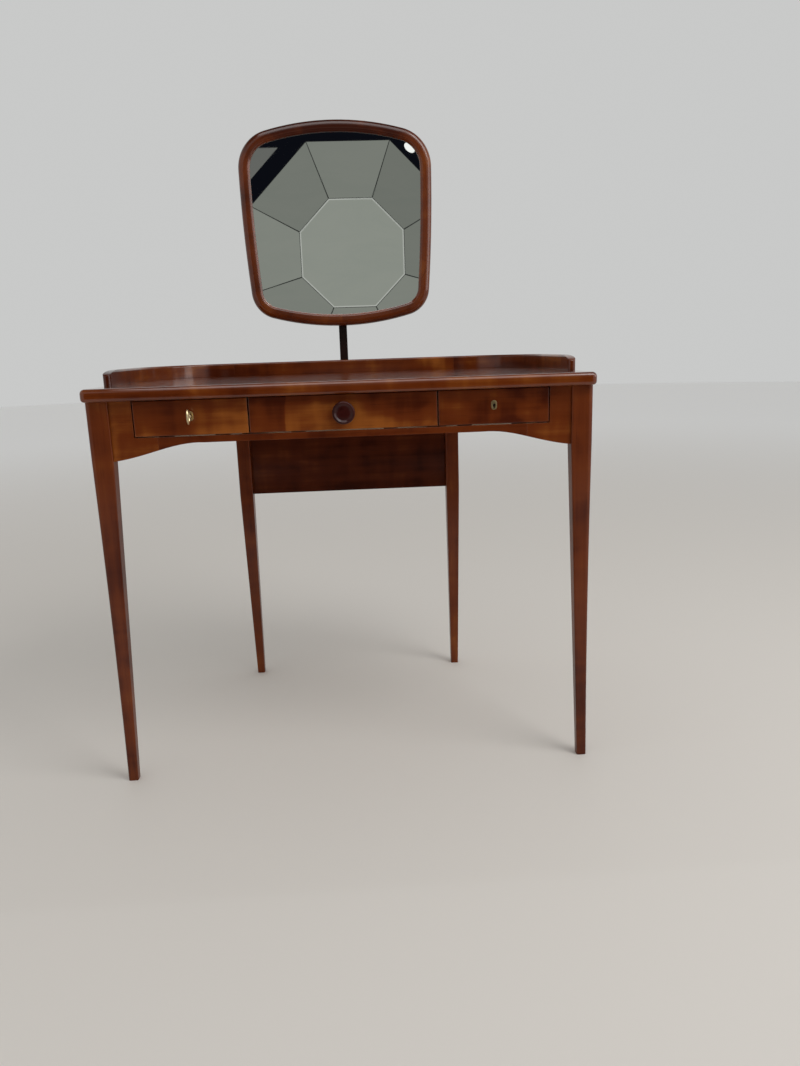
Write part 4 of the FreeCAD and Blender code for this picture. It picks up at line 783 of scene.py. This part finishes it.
# ---------------------------------------------------------------------------------------------
# The locks. Iron cases let into the back of the side drawer fronts, each with a plain bolt that
# rises into a strike plate under the top.
# ---------------------------------------------------------------------------------------------
finish(rubbed_metal("lock_iron", (0.30, 0.29, 0.28), (0.13, 0.115, 0.10), 0.38, tarnish=0.8),
       "lock_case_left", "lock_case_right")
finish(rubbed_metal("bolt_steel", (0.52, 0.50, 0.47), (0.25, 0.23, 0.21), 0.30), "lock_bolt_left",
       "lock_bolt_right")

# ---------------------------------------------------------------------------------------------
# The screws. Slotted and countersunk, of plated steel; the knob's has a round head. They hold the
# top, the post and the mirror's bracket.
# ---------------------------------------------------------------------------------------------
SLOT_HALF_SHARE = 0.16
THREAD_ROOT = 0.78
THREAD_STEP = 0.00115
TIP_RADIUS = 0.0002
DOME_BULGE = 0.75
CAP_SHARES = (0.0, 0.12, 0.25, 0.5)
SKIRT_SHARES = (0.5, 0.8, 1.0)
ORIGIN = Vector((0.0, 0.0, 0.0))


def solids(node):
    """The low and high corners of each separate solid in a CAD node."""
    copied = bmesh.new()
    copied.from_mesh(nodes[node].data)
    bmesh.ops.remove_doubles(copied, verts=copied.verts, dist=SAME_SPOT)
    waiting = set(copied.verts)
    corners = []
    while waiting:
        found = [waiting.pop()]
        for vert in found:
            near = {edge.other_vert(vert) for edge in vert.link_edges} & waiting
            waiting -= near
            found.extend(near)
        low = Vector([min(vert.co[way] for vert in found) for way in range(3)])
        high = Vector([max(vert.co[way] for vert in found) for way in range(3)])
        corners.append((low, high))
    copied.free()
    return sorted(corners, key=lambda pair: tuple(pair[0]))


def slotted_screw(shape, head_spot, turn, head_radius, shank_radius, length, head_depth, domed=False,
                  threaded=True):
    """Add a slotted screw. It is made along Y, with its head's face at the origin, and then turned.

    The slotted half of the head is made as two cut cheeks, and the rest of the screw as one solid.
    """
    def head_outline(shares):
        if domed:
            return [(head_radius * math.sqrt(1 - DOME_BULGE * (1 - share) ** 2), share * head_depth)
                    for share in shares]
        return [(head_radius + (shank_radius - head_radius) * share, share * head_depth) for share in shares]

    cap = [(0.0, 0.0), *head_outline(CAP_SHARES), (0.0, head_depth / 2)]
    half = turned(cap, ORIGIN, 1.0, 0.0, 1.0, steps=32)
    everything = half.verts[:] + half.edges[:] + half.faces[:]
    cut = bmesh.ops.bisect_plane(half, geom=everything, plane_co=(SLOT_HALF_SHARE * head_radius, 0.0, 0.0),
                                 plane_no=(1.0, 0.0, 0.0), clear_inner=True)["geom_cut"]
    bmesh.ops.holes_fill(half, edges=[item for item in cut if isinstance(item, bmesh.types.BMEdge)], sides=0)
    bmesh.ops.mirror(half, geom=half.verts[:] + half.edges[:] + half.faces[:], axis="X", merge_dist=-1.0)
    bmesh.ops.recalc_face_normals(half, faces=half.faces)
    tip_length = 2 * shank_radius if threaded else 0.0
    outline = [(0.0, head_depth / 2), *head_outline(SKIRT_SHARES), (shank_radius, head_depth)]
    depth = head_depth + 2 * THREAD_STEP
    while threaded and depth < length - tip_length - THREAD_STEP:
        outline += [(shank_radius, depth), (shank_radius * THREAD_ROOT, depth + THREAD_STEP / 3),
                    (shank_radius * THREAD_ROOT, depth + THREAD_STEP * 2 / 3)]
        depth += THREAD_STEP
    outline += [(shank_radius, length - tip_length)]
    outline += [(TIP_RADIUS, length), (0.0, length)] if threaded else [(0.0, length)]
    body = turned(outline, ORIGIN, 1.0, 0.0, 1.0, steps=32)
    for part in (half, body):
        lean(part, *turn)
        bmesh.ops.translate(part, vec=head_spot, verts=part.verts)
        take_in(shape, part)


screw_steel = rubbed_metal("screw_steel", (0.56, 0.54, 0.50), (0.30, 0.27, 0.24), 0.28, tarnish=0.6)
SCREW_ROWS = (
    ("slotted_top_screws", "top_screws", "table", "z"),
    ("slotted_post_screws", "post_screws", "table", "y"),
    ("slotted_bracket_screws", "bracket_screws", "mirror", "y"),
    ("slotted_knob_screw", "knob_screw", "centre_drawer", "y"),
)
SCREW_TURNS = {"z": ("X", 90), "y": ("Z", 180)}
for name, node, body, way in SCREW_ROWS:
    screws = bmesh.new()
    for low, high in solids(node):
        middle = (low + high) / 2
        if way == "z":
            face, span = (middle.x, middle.y, low.z), high.z - low.z
        else:
            face, span = (middle.x, high.y, middle.z), high.y - low.y
        head = (high.x - low.x) / 2
        slotted_screw(screws, face, SCREW_TURNS[way], head, head / 2, span, head / 2,
                      domed=node == "knob_screw")
    ride_as(new_mesh(name, screws), body, "steel", screw_steel, node)

# ---------------------------------------------------------------------------------------------
# The mirror frame. Birch, shaped in curved lengths and rounded all over, with a rebate behind for
# the glass. It hangs on a bracket, so that it tips on the post.
# ---------------------------------------------------------------------------------------------
# The top of the frame is painted darker: a painted shade where its upper face looks up into little light.
FRAME_PAINTED_SHADE_DROP = 0.06
finish(lacquered_wood("mirror_frame_lacquer", "round the mirror", shift=1.9, bias=-0.06, figure=0.6,
                      painted_shade_above=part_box("mirror_frame")[1].z - FRAME_PAINTED_SHADE_DROP, dark=(0.045, 0.0065, 0.0010),
                      gloss=0.85, gloss_rough=0.13, wear_and_highlight=0.3),
       "mirror_frame")

# ---------------------------------------------------------------------------------------------
# The mirror glass. Silvered behind, with a faint green cast and a few wiping marks, dropped into
# the rebate from the back and kept there by the backboard and small glued wedges.
# ---------------------------------------------------------------------------------------------
GLASS_CLEAN = (0.93, 0.95, 0.935)
GLASS_WIPED = (0.89, 0.92, 0.905)
WIPES = (7.0, 22.0)
WIPE_ROUGHNESS = (0.45, 0.8, 0.006, 0.03)
silvered = Recipe("silvered_glass")
wipes = silvered.cloud(silvered.stretched(silvered.place, *WIPES), detail=4.0, rough=0.6, bent=1.0)
silvered.set(silvered.shader.inputs["Base Color"],
             silvered.blend(silvered.spread(wipes, 0.3, 0.8), GLASS_CLEAN, GLASS_WIPED))
silvered.set(silvered.shader.inputs["Metallic"], 1.0)
silvered.set(silvered.shader.inputs["Roughness"], silvered.spread(wipes, *WIPE_ROUGHNESS))
finish(silvered.material, "mirror_glass")
finish(bare_wood("backboard_ply", "x", shift=5.5, dark=(0.24, 0.14, 0.075), light=(0.36, 0.23, 0.13)),
       "mirror_backboard")
finish(bare_wood("wedge_wood", "x", shift=7.5, dark=(0.36, 0.23, 0.13), light=(0.52, 0.36, 0.21)),
       "backboard_clips")

# ---------------------------------------------------------------------------------------------
# The tilting pivot: bracket, bolt, fibre washers and a turned brass nut that sets how stiffly the
# mirror tips. The washers rub on the post's sides.
# ---------------------------------------------------------------------------------------------
FIBRE_MOTTLE = (900.0, 900.0)
FIBRE_DARK = (0.16, 0.045, 0.025)
FIBRE_LIGHT = (0.30, 0.10, 0.055)
FIBRE_ROUGHNESS = 0.7
fibre = Recipe("washer_fibre")
mottle = fibre.cloud(fibre.stretched(fibre.place, *FIBRE_MOTTLE), detail=3.0)
fibre.set(fibre.shader.inputs["Base Color"],
          fibre.blend(fibre.spread(mottle, 0.3, 0.7), FIBRE_DARK, FIBRE_LIGHT))
fibre.set(fibre.shader.inputs["Roughness"], FIBRE_ROUGHNESS)
finish(fibre.material, "pivot_washers")

BOLT_HEAD_DEPTH = 0.003
BOLT_RADIUS = 0.003
bolt_low, bolt_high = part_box("pivot_bolt")
bolt_middle = (bolt_low + bolt_high) / 2
bolt_shape = bmesh.new()
slotted_screw(bolt_shape, (bolt_high.x, bolt_middle.y, bolt_middle.z), ("Z", 90),
              (bolt_high.z - bolt_low.z) / 2, BOLT_RADIUS, bolt_high.x - bolt_low.x, BOLT_HEAD_DEPTH,
              domed=True, threaded=False)
ride_as(new_mesh("slotted_pivot_bolt", bolt_shape), "mirror", "steel", screw_steel, "pivot_bolt")

NUT_RIDGES = 36
STEPS_PER_RIDGE = 4
NUT_GROOVE = 0.955
NUT_SKIN = 0.0001
NUT_CHAMFER = 0.0009
NUT_DISH = (0.62, 0.66, 0.86)
NUT_DISH_DEPTH = 0.0004
nut_low, nut_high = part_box("pivot_nut")
nut_middle = (nut_low + nut_high) / 2
nut_radius = (nut_high.z - nut_low.z) / 2
nut_length = nut_high.x - nut_low.x
nut_steps = NUT_RIDGES * STEPS_PER_RIDGE
dish_floor, dish_wall, dish_lip = (nut_radius * share for share in NUT_DISH)
nut_outline = (
    (BOLT_RADIUS, 0.0), (dish_floor, 0.0), (dish_wall, NUT_DISH_DEPTH), (dish_lip, NUT_DISH_DEPTH),
    (nut_radius - NUT_CHAMFER, 0.0), (nut_radius, NUT_CHAMFER), (nut_radius, nut_length / 2),
    (nut_radius, nut_length - NUT_CHAMFER), (nut_radius - NUT_CHAMFER, nut_length), (BOLT_RADIUS, nut_length),
    (BOLT_RADIUS, 0.0),
)
nut_shape = turned(nut_outline, ORIGIN, 1.0, 0.0, 1.0, steps=nut_steps)
for vert in nut_shape.verts:
    out = math.hypot(vert.co.x, vert.co.z)
    spoke = round(math.atan2(vert.co.z, vert.co.x) / (2 * math.pi) * nut_steps)
    if out > nut_radius - NUT_SKIN and spoke % STEPS_PER_RIDGE in (0, 1):
        vert.co.x *= NUT_GROOVE
        vert.co.z *= NUT_GROOVE
lean(nut_shape, "Z", -90)
bmesh.ops.translate(nut_shape, vec=(nut_low.x, nut_middle.y, nut_middle.z), verts=nut_shape.verts)
shade(nut_shape, smooth=False)
ride_as(new_mesh("knurled_pivot_nut", nut_shape), "mirror", "brass", old_brass, "pivot_nut")

# ---------------------------------------------------------------------------------------------
# The mirror post. One flat bar of very dark stained wood with a rounded head, screwed to the back
# panel and passing up behind the rim to the pivot.
# ---------------------------------------------------------------------------------------------
finish(lacquered_wood("post_lacquer", "z", shift=2.2, dark=(0.007, 0.0014, 0.0010),
                      middle=(0.015, 0.0032, 0.0020), light=(0.036, 0.0085, 0.0048), figure=0.5,
                      gloss=0.6, gloss_rough=0.2, wear_and_highlight=0.5), "mirror_post")
